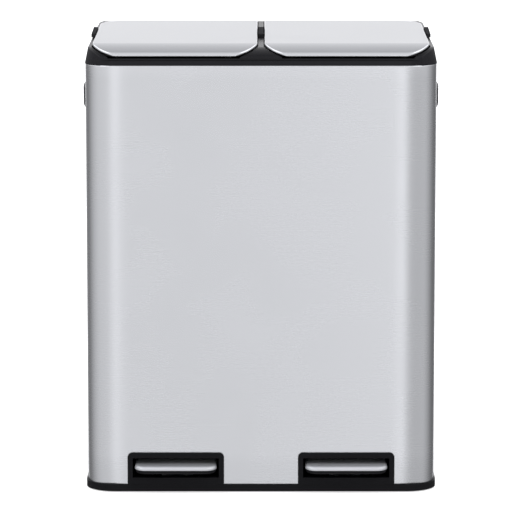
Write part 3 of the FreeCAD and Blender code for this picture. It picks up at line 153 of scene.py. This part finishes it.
# tones are linear, sizes in metres; a finish with stretch is a metal, one with grain a plastic or rubber
finishes = {
    "bodySteel": {
        "slot": "body_steel", "tone": (0.675, 0.685, 0.705), "dark": (0.655, 0.665, 0.685),
        "rough": 0.27, "roughSpread": 0.03, "wear": 0.03, "stretch": (1.2, 1.2, 1900), "bump": 0.008},
    "lidSteel": {
        "slot": "lid_steel", "tone": (0.61, 0.62, 0.64), "dark": (0.595, 0.605, 0.625),
        "rough": 0.24, "roughSpread": 0.03, "wear": 0.03, "stretch": (1.2, 1900, 1900), "bump": 0.008},
    "pedalSteel": {
        "slot": "bright_plate", "tone": (0.61, 0.62, 0.64), "dark": (0.57, 0.58, 0.60),
        "rough": 0.58, "roughSpread": 0.10, "wear": 0.10, "stretch": (4, 700, 700), "bump": 0.03},
    "zincSteel": {
        "slot": "zinc_steel", "tone": (0.55, 0.56, 0.57), "dark": (0.42, 0.43, 0.45),
        "rough": 0.38, "roughSpread": 0.15, "wear": 0.12, "stretch": (300, 300, 300), "bump": 0.10},
    "screwSteel": {
        "slot": "screw_steel", "tone": (0.58, 0.58, 0.58), "dark": (0.45, 0.45, 0.46),
        "rough": 0.30, "roughSpread": 0.10, "wear": 0.08, "stretch": (400, 400, 400), "bump": 0.05},
    "collarGloss": {
        "slot": "collar_plastic", "tone": (0.008, 0.008, 0.010), "dark": (0.006, 0.006, 0.007),
        "rough": 0.24, "roughSpread": 0.06, "wear": 0.08, "grain": 0.0010, "bump": 0.03, "shine": 0.16},
    "blackMatte": {
        "slot": "black_plastic", "tone": (0.006, 0.006, 0.007), "dark": (0.004, 0.004, 0.005),
        "rough": 0.40, "roughSpread": 0.10, "wear": 0.08, "grain": 0.0007, "bump": 0.10, "shine": 0.06},
    "capMatte": {
        "slot": "cap_plastic", "tone": (0.026, 0.026, 0.028), "dark": (0.020, 0.020, 0.022),
        "rough": 0.62, "roughSpread": 0.10, "wear": 0.06, "grain": 0.0005, "bump": 0.16, "shine": 0.006},
    "linerPlastic": {
        "slot": "liner_plastic", "tone": (0.022, 0.022, 0.024), "dark": (0.015, 0.015, 0.017),
        "rough": 0.48, "roughSpread": 0.10, "wear": 0.10, "grain": 0.0008, "bump": 0.10, "shine": 0.35},
    "bucketPlastic": {
        "slot": "bucket_plastic", "tone": (0.040, 0.041, 0.044), "dark": (0.030, 0.031, 0.034),
        "rough": 0.46, "roughSpread": 0.10, "wear": 0.14, "grain": 0.0010, "bump": 0.12, "shine": 0.40},
    "damperPlastic": {
        "slot": "damper_plastic", "tone": (0.060, 0.060, 0.062), "dark": (0.040, 0.040, 0.042),
        "rough": 0.40, "roughSpread": 0.08, "wear": 0.06, "grain": 0.0008, "bump": 0.06, "shine": 0.5},
    "softRubber": {
        "slot": "rubber", "tone": (0.012, 0.012, 0.012), "dark": (0.008, 0.008, 0.008),
        "rough": 0.72, "roughSpread": 0.12, "wear": 0.10, "grain": 0.0009, "bump": 0.20, "shine": 0.2},
}
patchSize = 0.12  # width of a patch of wear
patchTint = 0.3  # how much of the wear shows in the tone
bumpDepth = 0.0003  # depth of the relief at full bump


def placeGroup(tree, group, place, **values):
    node = addNode(tree, "Group", node_tree=group)
    tree.links.new(place, node.inputs["Place"])
    for key, value in values.items():
        node.inputs[key].default_value = value
    return node.outputs


# a metal has brushed lines, a plastic has mould grain; both have patches of wear in tone and roughness
def makeFinish(name, look):
    material = bpy.data.materials.new(name)
    material.use_nodes = True
    tree = material.node_tree
    shader = tree.nodes["Principled BSDF"]
    place = addNode(tree, "TexCoord").outputs["Object"]
    metal = "stretch" in look
    if metal:
        detail = placeGroup(tree, brushLines, place, Stretch=look["stretch"])
        fine, broad = detail["Lines"], detail["Streaks"]
    else:
        fine = placeGroup(tree, mouldGrain, place, Size=look["grain"])["Pebbles"]
        broad = fine
    smudge = placeGroup(tree, handWear, place, Size=patchSize)["Smudge"]
    tint = addNode(tree, "Mix", data_type="RGBA")
    tint.inputs["A"].default_value = (*look["dark"], 1)
    tint.inputs["B"].default_value = (*look["tone"], 1)
    cloudy = addMath(tree, "ADD", broad, addMath(tree, "MULTIPLY", smudge, patchTint), clamp=True)
    tree.links.new(cloudy, tint.inputs["Factor"])
    tree.links.new(tint.outputs["Result"], shader.inputs["Base Color"])
    lineShare = addMath(tree, "MULTIPLY", addMath(tree, "SUBTRACT", fine, 0.5), look["roughSpread"])
    wearShare = addMath(tree, "MULTIPLY", addMath(tree, "SUBTRACT", smudge, 0.5), look["wear"])
    spread = addMath(tree, "ADD", lineShare, wearShare)
    tree.links.new(addMath(tree, "ADD", spread, look["rough"], clamp=True), shader.inputs["Roughness"])
    bump = addNode(tree, "Bump")
    bump.inputs["Strength"].default_value = look["bump"]
    bump.inputs["Distance"].default_value = bumpDepth
    tree.links.new(fine, bump.inputs["Height"])
    tree.links.new(bump.outputs["Normal"], shader.inputs["Normal"])
    shader.inputs["Metallic"].default_value = float(metal)
    shader.inputs["Specular IOR Level"].default_value = look.get("shine", 0.5)
    material.diffuse_color = (*look["tone"], 1)
    return material


materials = {name: makeFinish(name, look) for name, look in finishes.items()}
print("finishes made:", len(materials))


def paint(piece, finish):
    piece.data.materials.clear()
    piece.data.materials.append(materials[finish])


# smoothed step: 0 below low, 1 above high, 3s^2 - 2s^3 between
def ease(value, low, high):
    share = np.clip((value - low) / (high - low), 0, 1)
    return share * share * (3 - 2 * share)


# a closed outline seen from above, counter-clockwise: at each corner an arc of radius r about the point that
# lies r in from both sides; it also gives the outward normal of each point
def filletedOutline(corners, radii, steps):
    corners = np.asarray(corners, float)
    spots, outward = [], []
    for here, before, after, radius in zip(corners, np.roll(corners, 1, 0), np.roll(corners, -1, 0), radii):
        arrive = (here - before) / np.linalg.norm(here - before)
        leave = (after - here) / np.linalg.norm(after - here)
        turn = math.atan2(arrive[0] * leave[1] - arrive[1] * leave[0], float(arrive @ leave))
        side = np.array([arrive[1], -arrive[0]])  # outward from the side that arrives
        centre = here - arrive * radius * math.tan(turn / 2) - side * radius
        angles = np.linspace(0, turn, steps + 1)[:, None]
        normal = side * np.cos(angles) + arrive * np.sin(angles)
        spots.append(centre + normal * radius)
        outward.append(normal)
    return np.vstack(spots), np.vstack(outward)


# a rectangle with rounded corners: front left, front right, back right, back left
def boxOutline(low, high, radii, steps):
    corners = [(low[0], low[1]), (high[0], low[1]), (high[0], high[1]), (low[0], high[1])]
    return filletedOutline(corners, radii, steps)


# quads of a grid of rows by columns, of which the last column meets the first
def gridFaces(rows, columns):
    row, column = np.meshgrid(np.arange(rows - 1), np.arange(columns), indexing="ij")
    right = (column + 1) % columns
    return np.stack([row * columns + column, row * columns + right, (row + 1) * columns + right,
                     (row + 1) * columns + column], -1).reshape(-1, 4)


def smoothFaces(mesh):
    mesh.polygons.foreach_set("use_smooth", np.ones(len(mesh.polygons), bool))


# shape takes all the points of a mesh as one array and gives them back moved
def movePoints(mesh, shape):
    points = np.empty(len(mesh.vertices) * 3)
    mesh.vertices.foreach_get("co", points)
    mesh.vertices.foreach_set("co", shape(points.reshape(-1, 3)).ravel())
    mesh.update()


def linkObject(name, data):
    item = bpy.data.objects.new(name, data)
    bpy.context.scene.collection.objects.link(item)
    return item


# a smooth mesh with its finish, on the body it moves with, in place of the CAD's own nodes
def addPiece(name, points, faces, finish, body, replaced):
    mesh = bpy.data.meshes.new(name)
    mesh.from_pydata(np.asarray(points, float).reshape(-1, 3).tolist(), [],
                     [list(map(int, face)) for face in faces])
    smoothFaces(mesh)
    mesh.update()
    piece = linkObject(name, mesh)
    paint(piece, finish)
    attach(piece, body)
    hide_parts(*replaced)
    return piece


# merges doubles and marks the edges of open sheets and sharp folds as sharp
def cleanMesh(piece, weld=weldGap):
    work = bmesh.new()
    work.from_mesh(piece.data)
    bmesh.ops.remove_doubles(work, verts=work.verts, dist=weld)
    for edge in work.edges:
        edge.smooth = not edge.is_boundary and edge.calc_face_angle(0) < math.radians(foldAngle)
    work.to_mesh(piece.data)
    work.free()


# rings of an outline, one for each (inset, height) of a profile: a point moves in along its normal
def ringPoints(outline, profile):
    spots, outward = outline
    insets, heights = np.asarray(profile, float).T
    flat = spots[None] - outward[None] * insets[:, None, None]
    return np.dstack([flat, np.broadcast_to(heights[:, None], flat.shape[:2])])


# an upright piece: the outline carried along the profile from its foot to its top, with flat ends
def ringPiece(name, outline, profile, finish, body, replaced):
    points = ringPoints(outline, profile)
    rows, columns = points.shape[:2]
    faces = [list(range(columns))[::-1], *gridFaces(rows, columns).tolist(),
             list(range((rows - 1) * columns, rows * columns))]
    piece = addPiece(name, points, faces, finish, body, replaced)
    cleanMesh(piece)
    return piece


# a small round at the foot: in by radius at the bottom, one point on the way, then upright
def footTurn(radius, low, rise=0.3):
    return [(radius, low), (0.3 * radius, low + rise * radius), (0, low + radius)]


# a rounded edge that ends level: inset = r (1 - cos a), height = top - r (1 - sin a)
def quarterTurn(radius, top, steps):
    angle = np.linspace(0, math.pi / 2, steps + 1)
    return list(zip(radius * (1 - np.cos(angle)), top - radius * (1 - np.sin(angle))))


def addModifier(piece, kind, **settings):
    modifier = piece.modifiers.new(kind.title(), kind)
    for key, value in settings.items():
        setattr(modifier, key, value)


# angles in degrees: faces that meet below flat become one, edges from sharp up are rounded
softSet = {"flat": 0.4, "sharp": 32, "segments": 2}


# the node's own solid, merged into one skin, with its sharp edges rounded off; shape moves its points, and a
# long part is first sliced across so that it can bend
def softCopy(node, finish, width, shape=None, slices=0):
    source = nodes[node]
    mesh = source.data.copy()
    mesh.name = node + "_moulded"
    work = bmesh.new()
    work.from_mesh(mesh)
    bmesh.ops.remove_doubles(work, verts=work.verts, dist=weldGap)
    bmesh.ops.dissolve_limit(work, angle_limit=math.radians(softSet["flat"]), verts=work.verts,
                             edges=work.edges)
    near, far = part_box(node)
    for share in np.linspace(0, 1, slices + 2)[1:-1]:
        parts = [*work.verts, *work.edges, *work.faces]
        bmesh.ops.bisect_plane(work, geom=parts, plane_co=near.lerp(far, float(share)), plane_no=(0, 1, 0))
    work.to_mesh(mesh)
    work.free()
    smoothFaces(mesh)
    if shape:
        movePoints(mesh, shape)
    for attribute in [a.name for a in mesh.attributes if a.name.startswith("custom_normal")]:
        mesh.attributes.remove(mesh.attributes[attribute])
    piece = linkObject(mesh.name, mesh)
    addModifier(piece, "BEVEL", width=width, segments=softSet["segments"], limit_method="ANGLE",
                angle_limit=math.radians(softSet["sharp"]), harden_normals=True, use_clamp_overlap=True)
    paint(piece, finish)
    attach(piece, source["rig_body"])
    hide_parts(node)


# metres, degrees, then the focal length and the picture's width in pixels, and the sensor in millimetres
cameraSet = {"away": 5.0, "height": 1.101, "pitch": 8.98, "focal": 3457.0, "frame": 522.0, "sensor": 36.0}


def makeCamera(look):
    camera = bpy.data.cameras.new("studioCamera")
    camera.sensor_width = look["sensor"]
    camera.lens = look["focal"] / look["frame"] * look["sensor"]
    camera.clip_start, camera.clip_end = 0.1, 200
    holder = linkObject("studioCamera", camera)
    holder.location = (0, -look["away"], look["height"])
    holder.rotation_euler = (math.radians(90 - look["pitch"]), 0, 0)
    bpy.context.scene.camera = holder


makeCamera(cameraSet)

shellLow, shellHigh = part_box("body_shell")
frameLow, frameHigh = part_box("pedal_frame_left")
sleeveSet = {"wall": 0.8 * mm, "ease": 73 * mm, "power": 3.76, "topRound": 1.6 * mm, "footRound": 0.6 * mm,
             "seamHalf": 4.5 * mm, "seamProud": 0.6 * mm, "seamColumns": [1.9, 1.4, 1.1, 0.9], "lap": 4 * mm,
             "arcSteps": 30, "rowGap": 60 * mm}


# the front half turns by x = e sin(a)^(2/p), y = e cos(a)^(2/p), so the sheet starts to bend well before its
# corner; columns for the pedal openings are put in on the same curve; the back half mirrors the front one,
# with columns close to both edges of the proud seam in the middle
def sleeveOutline(look, cuts):
    halfX, halfY = shellHigh.x, (shellHigh.y - look["seamProud"] - shellLow.y) / 2
    angle = np.linspace(0, math.pi / 2, look["arcSteps"] + 1)
    power, flat = look["power"], halfX - look["ease"]
    turnX = flat + look["ease"] * np.sin(angle) ** (2 / power)
    turnY = look["ease"] * (1 - np.cos(angle) ** (2 / power))
    cutX = np.array(cuts)
    cutY = look["ease"] * (1 - (1 - np.clip((cutX - flat) / look["ease"], 0, 1) ** power) ** (1 / power))
    x, drop = np.concatenate([cutX, turnX]), np.concatenate([cutY, turnY])
    order = np.argsort(x, kind="stable")
    quarter = np.stack([x[order], drop[order] - halfY], -1)
    rear = np.stack([turnX, halfY - turnY], -1)[::-1]
    columns = np.array(look["seamColumns"])
    seam = np.concatenate([columns, -columns[::-1]])
    back = np.stack([seam * look["seamHalf"], halfY + look["seamProud"] * (np.abs(seam) < 1)], -1)
    outline = np.vstack([quarter, rear, back, (rear * [-1, 1])[::-1], (quarter * [-1, 1])[::-1]])
    step = np.roll(outline, -1, 0) - np.roll(outline, 1, 0)
    outward = np.stack([step[:, 1], -step[:, 0]], -1)
    outward /= np.linalg.norm(outward, axis=1)[:, None]
    return outline + [0, shellLow.y + halfY], outward


# the outline carried from its foot to its rolled top edge, without the quads of the two pedal openings
def makeSleeve(look):
    inner, outer = -frameHigh.x + look["lap"], -frameLow.x - look["lap"]
    outline = sleeveOutline(look, [inner, outer])
    low, high, sill = shellLow.z, shellHigh.z, frameHigh.z - look["lap"]
    foot = footTurn(look["footRound"], low, rise=0.25)
    middle = [(0, z) for z in np.arange(sill, high - 2 * look["topRound"], look["rowGap"])]
    points = ringPoints(outline, foot + middle + quarterTurn(look["topRound"], high, steps=6))
    faces = gridFaces(*points.shape[:2])
    centre = points.reshape(-1, 3)[faces].mean(1)
    across = np.abs(centre[:, 0])
    inCut = (across > inner) & (across < outer) & (centre[:, 1] < 0) & (centre[:, 2] < sill)
    used, faces = np.unique(faces[~inCut], return_inverse=True)
    sleeve = addPiece("steel_sleeve", points.reshape(-1, 3)[used], faces.reshape(-1, 4), "bodySteel",
                      nodes["body_shell"]["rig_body"], ["body_shell"])
    cleanMesh(sleeve)
    addModifier(sleeve, "SOLIDIFY", thickness=look["wall"], offset=-1)


makeSleeve(sleeveSet)
print("sleeve made")

lidLow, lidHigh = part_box("lid_skin_left")
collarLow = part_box("collar")[0]
collarSet = {"lean": 11 * mm, "leanPower": 1.5, "corner": 42 * mm, "rail": 7.3 * mm, "reach": 28 * mm,
             "frontIn": 2.4 * mm, "backIn": 5.0 * mm, "fadeFrom": 19 * mm, "fadeTo": 30 * mm,
             "capIn": 5.2 * mm, "tuck": 0.992, "tuckBelow": 1 * mm}


# how far the lids' outer sides are drawn in, evenly from frontIn at the front to backIn at the back
def drawnIn(y):
    share = np.clip((y - lidLow.y) / (lidHigh.y - lidLow.y), 0, 1)
    return collarSet["frontIn"] + (collarSet["backIn"] - collarSet["frontIn"]) * share


# the collar's flanks lean in as they rise, by lean * share^power at the outside, and by as much as the lids
# at the rail's inner face; further in, the shift fades out; what is inside the steel is tucked in a little;
# outerLean, where it is given, is the shift at the outside instead
def leanIn(points, outerLean=None):
    look = collarSet
    x, y, z = points.T
    low, high = shellLow.y, shellHigh.y - sleeveSet["seamProud"]
    past = np.maximum(np.maximum(low + look["corner"] - y, y - high + look["corner"]), 0)
    past = np.minimum(past, look["corner"])
    outer = shellHigh.x - look["corner"] + np.sqrt(look["corner"] ** 2 - past ** 2)
    inward = np.maximum(outer - np.abs(x), 0)
    rise = np.clip((z - shellHigh.z) / (lidHigh.z - shellHigh.z), 0, 1)
    lean = look["lean"] * rise ** look["leanPower"] if outerLean is None else np.full(len(z), outerLean)
    beside = drawnIn(y) * ease(z, collarLow.z + look["fadeFrom"], collarLow.z + look["fadeTo"])
    near = np.clip(inward / look["rail"], 0, 1)
    far = np.clip((inward - look["rail"]) / (look["reach"] - look["rail"]), 0, 1)
    shift = np.where(inward < look["rail"], lean + (beside - lean) * near, beside * (1 - far))
    moved = points.copy()
    moved[:, 0] -= np.sign(x) * shift
    tucked = z < shellHigh.z - look["tuckBelow"]
    moved[tucked, :2] *= look["tuck"]
    return moved


lidSet = {"hem": 2.5 * mm, "edgeRound": 2.0 * mm, "edgeRadius": 9 * mm, "noseRadius": 62 * mm,
          "edgeAngle": 65, "noseAngle": 31.6, "slope": 2.5, "frontCorner": 34 * mm, "backOuter": 38 * mm,
          "backInner": 6 * mm, "spineHalf": 80 * mm, "wall": 1.2 * mm, "weld": 2e-5, "steps": 14, "rings": 34}


# the lid's height at a distance back: a tight arc at the edge, a long nose arc, then a straight slope
def lidCurve(look, y):
    slope, nose, edge = (math.radians(look[key]) for key in ("slope", "noseAngle", "edgeAngle"))
    hemTop = lidLow.z + look["hem"]
    edgeY = lidLow.y + look["edgeRadius"] * math.sin(edge)
    edgeZ = hemTop - look["edgeRadius"] * math.cos(edge)
    reach = look["noseRadius"] - look["edgeRadius"]
    noseY, noseZ = edgeY + reach * math.sin(nose), edgeZ - reach * math.cos(nose)
    crestY = noseY - look["noseRadius"] * math.sin(slope)
    crestZ = noseZ + look["noseRadius"] * math.cos(slope)
    joinY = edgeY - look["edgeRadius"] * math.sin(nose)
    tight = edgeZ + np.sqrt(np.maximum(look["edgeRadius"] ** 2 - (y - edgeY) ** 2, 0))
    long = noseZ + np.sqrt(np.maximum(look["noseRadius"] ** 2 - (y - noseY) ** 2, 0))
    straight = crestZ + (y - crestY) * math.tan(slope)
    return np.where(y < joinY, tight, np.where(y < crestY, long, straight))


# rings of the lid's outline: up the hem, in over the rolled edge, then shrinking to a line along the middle;
# each point's height is the lid's curve less its fall at the edge
def makeLid(side, sign, look):
    frontX, backX = lidLow.x + collarSet["frontIn"], lidLow.x + collarSet["backIn"]
    corners = [(frontX, lidLow.y), (lidHigh.x, lidLow.y), (lidHigh.x, lidHigh.y), (backX, lidHigh.y)]
    radii = (look["frontCorner"], look["frontCorner"], look["backInner"], look["backOuter"])
    spots, outward = filletedOutline(corners, radii, look["steps"])
    edge = np.array(quarterTurn(look["edgeRound"], 0.0, steps=6))
    insets = np.concatenate([[0.0], edge[:, 0]])
    drops = np.concatenate([[-look["hem"]], edge[:, 1]])
    rim = spots[None] - outward[None] * insets[:, None, None]
    middle = (rim[-1].min(0) + rim[-1].max(0)) / 2
    spine = middle + [0, 1] * np.clip(rim[-1] - middle, -look["spineHalf"], look["spineHalf"])
    share = np.linspace(0, 1, look["rings"])[1:, None, None]
    flat = np.concatenate([rim, rim[-1] + (spine - rim[-1])[None] * share])
    fall = np.concatenate([drops, np.zeros(look["rings"] - 1)])
    height = lidCurve(look, np.maximum(flat[..., 1], lidLow.y)) + fall[:, None]
    points = np.dstack([flat, height])
    if sign > 0:  # the right lid mirrors the left one
        points = points[:, ::-1] * [-1, 1, 1]
    piece = addPiece("lid_top_" + side, points, gridFaces(*points.shape[:2]), "lidSteel", "lid_" + side,
                     ["lid_skin_" + side])
    cleanMesh(piece, look["weld"])
    addModifier(piece, "SOLIDIFY", thickness=look["wall"], offset=-1)


for side, sign in sides.items():
    makeLid(side, sign, lidSet)
print("lids made")

pedalSet = {"frontCorner": 15 * mm, "backCorner": 2 * mm, "nose": 4.4 * mm, "underRound": 0.8 * mm,
            "padIn": 1.0 * mm, "padRound": 1.6 * mm, "tilt": 3.8, "level": 4 * mm, "steps": 12}


# points rise by (y - level) tan(tilt)
def tilted(points, level, tilt):
    return points + [0, 0, math.tan(math.radians(tilt))] * (points[:, 1:2] - level)


# plate: a small round below, an upright lip, then a quarter circle over to the level top
# pad: the same outline drawn in, with a small bevel at its foot; both rise towards the back
def makePedal(side, look):
    low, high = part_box("pedal_plate_" + side)
    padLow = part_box("pedal_pad_" + side)[0]
    radii = (look["frontCorner"], look["frontCorner"], look["backCorner"], look["backCorner"])
    outline = boxOutline(low, high, radii, look["steps"])
    profile = footTurn(look["underRound"], low.z) + quarterTurn(look["nose"], high.z, steps=8)
    plate = ringPiece("pedal_top_" + side, outline, profile, "pedalSteel", "pedal_" + side,
                      ["pedal_plate_" + side])
    inset, turn = look["padIn"], look["padRound"]
    foot = [(inset + turn - rise, padLow.z + rise) for rise in turn * np.linspace(0, 1, 4)]
    grip = ringPiece("pedal_grip_" + side, outline, foot + [(inset, low.z)], "blackMatte", "pedal_" + side,
                     ["pedal_pad_" + side])
    for piece in (plate, grip):
        movePoints(piece.data, lambda points: tilted(points, low.y + look["level"], look["tilt"]))


for side in sides:
    makePedal(side, pedalSet)
print("pedals made")

capLow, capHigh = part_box("rail_cap_left")
handleLow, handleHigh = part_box("side_handle_left")
trimSet = {"capFront": 47 * mm, "capRear": 17 * mm, "handleEnds": 0.26, "handleBow": 0.36,
           "handleLift": 6 * mm, "upstandFrom": 3 * mm}


# a cap moves back along the rail's slope, its front end further than its rear end
def shortCap(points):
    moved = points.copy()
    share = np.clip((capHigh.y - points[:, 1]) / (capHigh.y - capLow.y), 0, 1)
    step = trimSet["capRear"] + (trimSet["capFront"] - trimSet["capRear"]) * share
    moved[:, 1] += step
    moved[:, 2] += step * math.tan(math.radians(lidSet["slope"]))
    return moved


# the base's upstand, inside the steel, is tucked in a little
def tuckBase(points):
    moved = points.copy()
    moved[points[:, 2] > shellLow.z + trimSet["upstandFrom"], :2] *= collarSet["tuck"]
    return moved


def leanCap(points):
    return leanIn(shortCap(points), collarSet["capIn"])


# a handle lies a little higher and closer to the steel, and its bar bows out in the middle:
# x = side + (ends + bow (1 - u^2)) (x - side)
def slimHandle(points):
    moved = points.copy()
    proud = np.abs(points[:, 0]) - shellHigh.x
    along = (2 * points[:, 1] - handleLow.y - handleHigh.y) / (handleHigh.y - handleLow.y)
    share = trimSet["handleEnds"] + trimSet["handleBow"] * (1 - along ** 2)
    moved[:, 0] = np.sign(points[:, 0]) * (shellHigh.x + proud * share)
    moved[:, 2] += trimSet["handleLift"]
    return moved


# node, finish, edge round in millimetres, what moves its points and the number of slices
softPieces = {
    "collar": ("collarGloss", 0.7, leanIn), "hinge_cover": ("collarGloss", 0.7, leanIn),
    "base_tray": ("blackMatte", 0.7, tuckBase), "rail_cap_centre": ("capMatte", 0.35, shortCap),
    "handle_screws": ("screwSteel", 0.15, slimHandle),
}
sidePieces = {
    "rail_cap": ("capMatte", 0.35, leanCap), "pedal_frame": ("blackMatte", 0.6, None),
    "lid_liner": ("linerPlastic", 0.5, leanIn), "side_handle": ("blackMatte", 0.6, slimHandle, 14),
    "bucket": ("bucketPlastic", 0.5, None),
}
for side in sides:
    softPieces.update({f"{key}_{side}": value for key, value in sidePieces.items()})
for node, (finish, width, *rest) in softPieces.items():
    softCopy(node, finish, width * mm, *rest)
print("plastics made")

# the nodes whose own shape stays, by finish
keptNodes = {
    "softRubber": ("base_feet", "lid_bumpers"),
    "screwSteel": ("cover_screws", "bracket_screws", "back_screws", "pedal_screws"),
    "zincSteel": ("clip_rivets", "hinge_pin", "crank_pin", "pivot_bracket", "lever_axle", "rod_clip_lower",
                  "rod_clip_upper", "pedal_lever", "push_rod", "damper_plunger"),
    "damperPlastic": ("damper_body", "rod_foot", "rod_head", "damper_arm"),
}
keptFinishes = {node: finish for finish, group in keptNodes.items() for node in group}
for node, piece in nodes.items():
    if not piece.hide_render:
        paint(piece, keptFinishes[node.replace("_left", "").replace("_right", "")])
print("kept nodes painted")

studioSet = {
    "floorHalf": 60.0, "floorTone": 0.90, "floorGlow": 0.55, "floorRough": 0.9, "gain": 1.40, "cool": 1.02,
    # brightness near the horizon by azimuth, in degrees from the front and positive to the left
    "around": [(-180, 0.90), (-175, 0.92), (-170, 1.2), (-160, 0.30), (-150, 0.10), (-120, 0.19),
               (-100, 0.33), (-68, 0.50), (-25, 0.48), (-14, 0.49), (-10.5, 0.56), (-8, 1.4), (-5, 1.75),
               (-3.4, 0.42), (0, 0.39), (4, 0.50), (8, 1.08), (14, 0.86), (25, 0.64), (60, 0.60), (90, 0.46),
               (130, 0.18), (150, 0.16), (160, 0.30), (170, 1.2), (175, 0.92), (180, 0.90)],
    # brightness by angle over the top, from the back horizon through straight up to the front horizon
    "over": [(0, 0.62), (15, 0.66), (30, 0.66), (72, 0.45), (100, 0.50), (118, 0.60), (134, 0.70),
             (162, 0.78), (172, 0.7), (180, 0.60)],
    # heights, from 0 at the horizon to 1 straight up, between which around gives way to over
    "blendFrom": 0.03, "blendTo": 0.30,
    # the light high up at both sides is brighter, and the light below the horizon is a little dimmer
    "sideBoost": 1.8, "sideFrom": 0.22, "sideTo": 0.50, "highFrom": 0.40, "highTo": 0.62, "lowFade": 0.86,
    "lowFrom": -0.24, "lowTo": -0.10,
}


# a ramp's stops, each an angle from low to high with its brightness, made a little cooler
def fillRamp(node, stops, low, high, cool):
    ramp = node.color_ramp
    while len(ramp.elements) < len(stops):
        ramp.elements.new(0.5)
    for element, (angle, value) in zip(ramp.elements, stops):
        element.position = (angle - low) / (high - low)
        element.color = (value, value, value * cool, 1)


# the angle of rise over run, as a share of the way from low to high degrees
def angleOf(tree, rise, run, low, high):
    turn = addMath(tree, "ARCTAN2", rise, run)
    past = addMath(tree, "SUBTRACT", turn, math.radians(low))
    return addMath(tree, "DIVIDE", past, math.radians(high - low))


# a smooth step of a value from one result to another
def spanOf(tree, value, low, high, first, last):
    span = addNode(tree, "MapRange", interpolation_type="SMOOTHSTEP")
    for socket, number in zip(span.inputs[1:5], (low, high, first, last)):
        socket.default_value = number
    tree.links.new(value, span.inputs["Value"])
    return span.outputs[0]


# a tent of soft light: one ramp runs round the horizon, the other over the top, and height blends them
def makeStudio(look):
    scene = bpy.context.scene
    scene.view_settings.view_transform = "Standard"
    world = bpy.data.worlds.new("studio")
    scene.world = world
    world.use_nodes = True
    tree = world.node_tree
    tree.nodes.clear()
    split = addNode(tree, "SeparateXYZ")
    tree.links.new(addNode(tree, "TexCoord").outputs["Generated"], split.inputs[0])
    x, y, z = split.outputs
    backY, leftX = addMath(tree, "MULTIPLY", y, -1.0), addMath(tree, "MULTIPLY", x, -1.0)
    around, over = addNode(tree, "ValToRGB"), addNode(tree, "ValToRGB")
    fillRamp(around, look["around"], -180, 180, look["cool"])
    fillRamp(over, look["over"], 0, 180, look["cool"])
    tree.links.new(angleOf(tree, leftX, backY, -180, 180), around.inputs[0])
    above = addMath(tree, "MAXIMUM", z, 0.0)
    across = addMath(tree, "ABSOLUTE", x, 0.0)
    aside = spanOf(tree, across, look["sideFrom"], look["sideTo"], 0.0, look["sideBoost"])
    high = spanOf(tree, z, look["highFrom"], look["highTo"], 0.0, 1.0)
    boost = addMath(tree, "ADD", addMath(tree, "MULTIPLY", aside, high), 1.0)
    fade = spanOf(tree, z, look["lowFrom"], look["lowTo"], look["lowFade"], 1.0)
    tree.links.new(angleOf(tree, above, y, 0, 180), over.inputs[0])
    blend = addNode(tree, "Mix", data_type="RGBA")
    climb = spanOf(tree, z, look["blendFrom"], look["blendTo"], 0.0, 1.0)
    tree.links.new(climb, blend.inputs["Factor"])
    for ramp, share, side in ((around, fade, "A"), (over, boost, "B")):
        scaled = addNode(tree, "VectorMath", operation="SCALE")
        tree.links.new(ramp.outputs[0], scaled.inputs[0])
        tree.links.new(share, scaled.inputs["Scale"])
        tree.links.new(scaled.outputs[0], blend.inputs[side])
    lit, seen, mix = addNode(tree, "Background"), addNode(tree, "Background"), addNode(tree, "MixShader")
    lit.inputs["Strength"].default_value = look["gain"]
    tree.links.new(blend.outputs["Result"], lit.inputs["Color"])
    seen.inputs["Color"].default_value = (1, 1, 1, 1)
    tree.links.new(addNode(tree, "LightPath").outputs["Is Camera Ray"], mix.inputs[0])
    tree.links.new(lit.outputs[0], mix.inputs[1])
    tree.links.new(seen.outputs[0], mix.inputs[2])
    tree.links.new(mix.outputs[0], addNode(tree, "OutputWorld").inputs[0])


# a pale sheet that glows a little, so that it stays light right up to the horizon
def makeFloor(look):
    reach = look["floorHalf"]
    mesh = bpy.data.meshes.new("floor")
    mesh.from_pydata([(-reach, -reach, 0), (reach, -reach, 0), (reach, reach, 0), (-reach, reach, 0)], [],
                     [(0, 1, 2, 3)])
    floor = linkObject("floor", mesh)
    material = bpy.data.materials.new("paleFloor")
    material.use_nodes = True
    shader = material.node_tree.nodes["Principled BSDF"]
    tone = look["floorTone"]
    shader.inputs["Base Color"].default_value = (tone, tone, tone, 1)
    shader.inputs["Roughness"].default_value = look["floorRough"]
    shader.inputs["Emission Color"].default_value = (1, 1, 1, 1)
    shader.inputs["Emission Strength"].default_value = look["floorGlow"]
    mesh.materials.append(material)
    floor.visible_glossy = False


makeStudio(studioSet)
makeFloor(studioSet)
print("studio made")
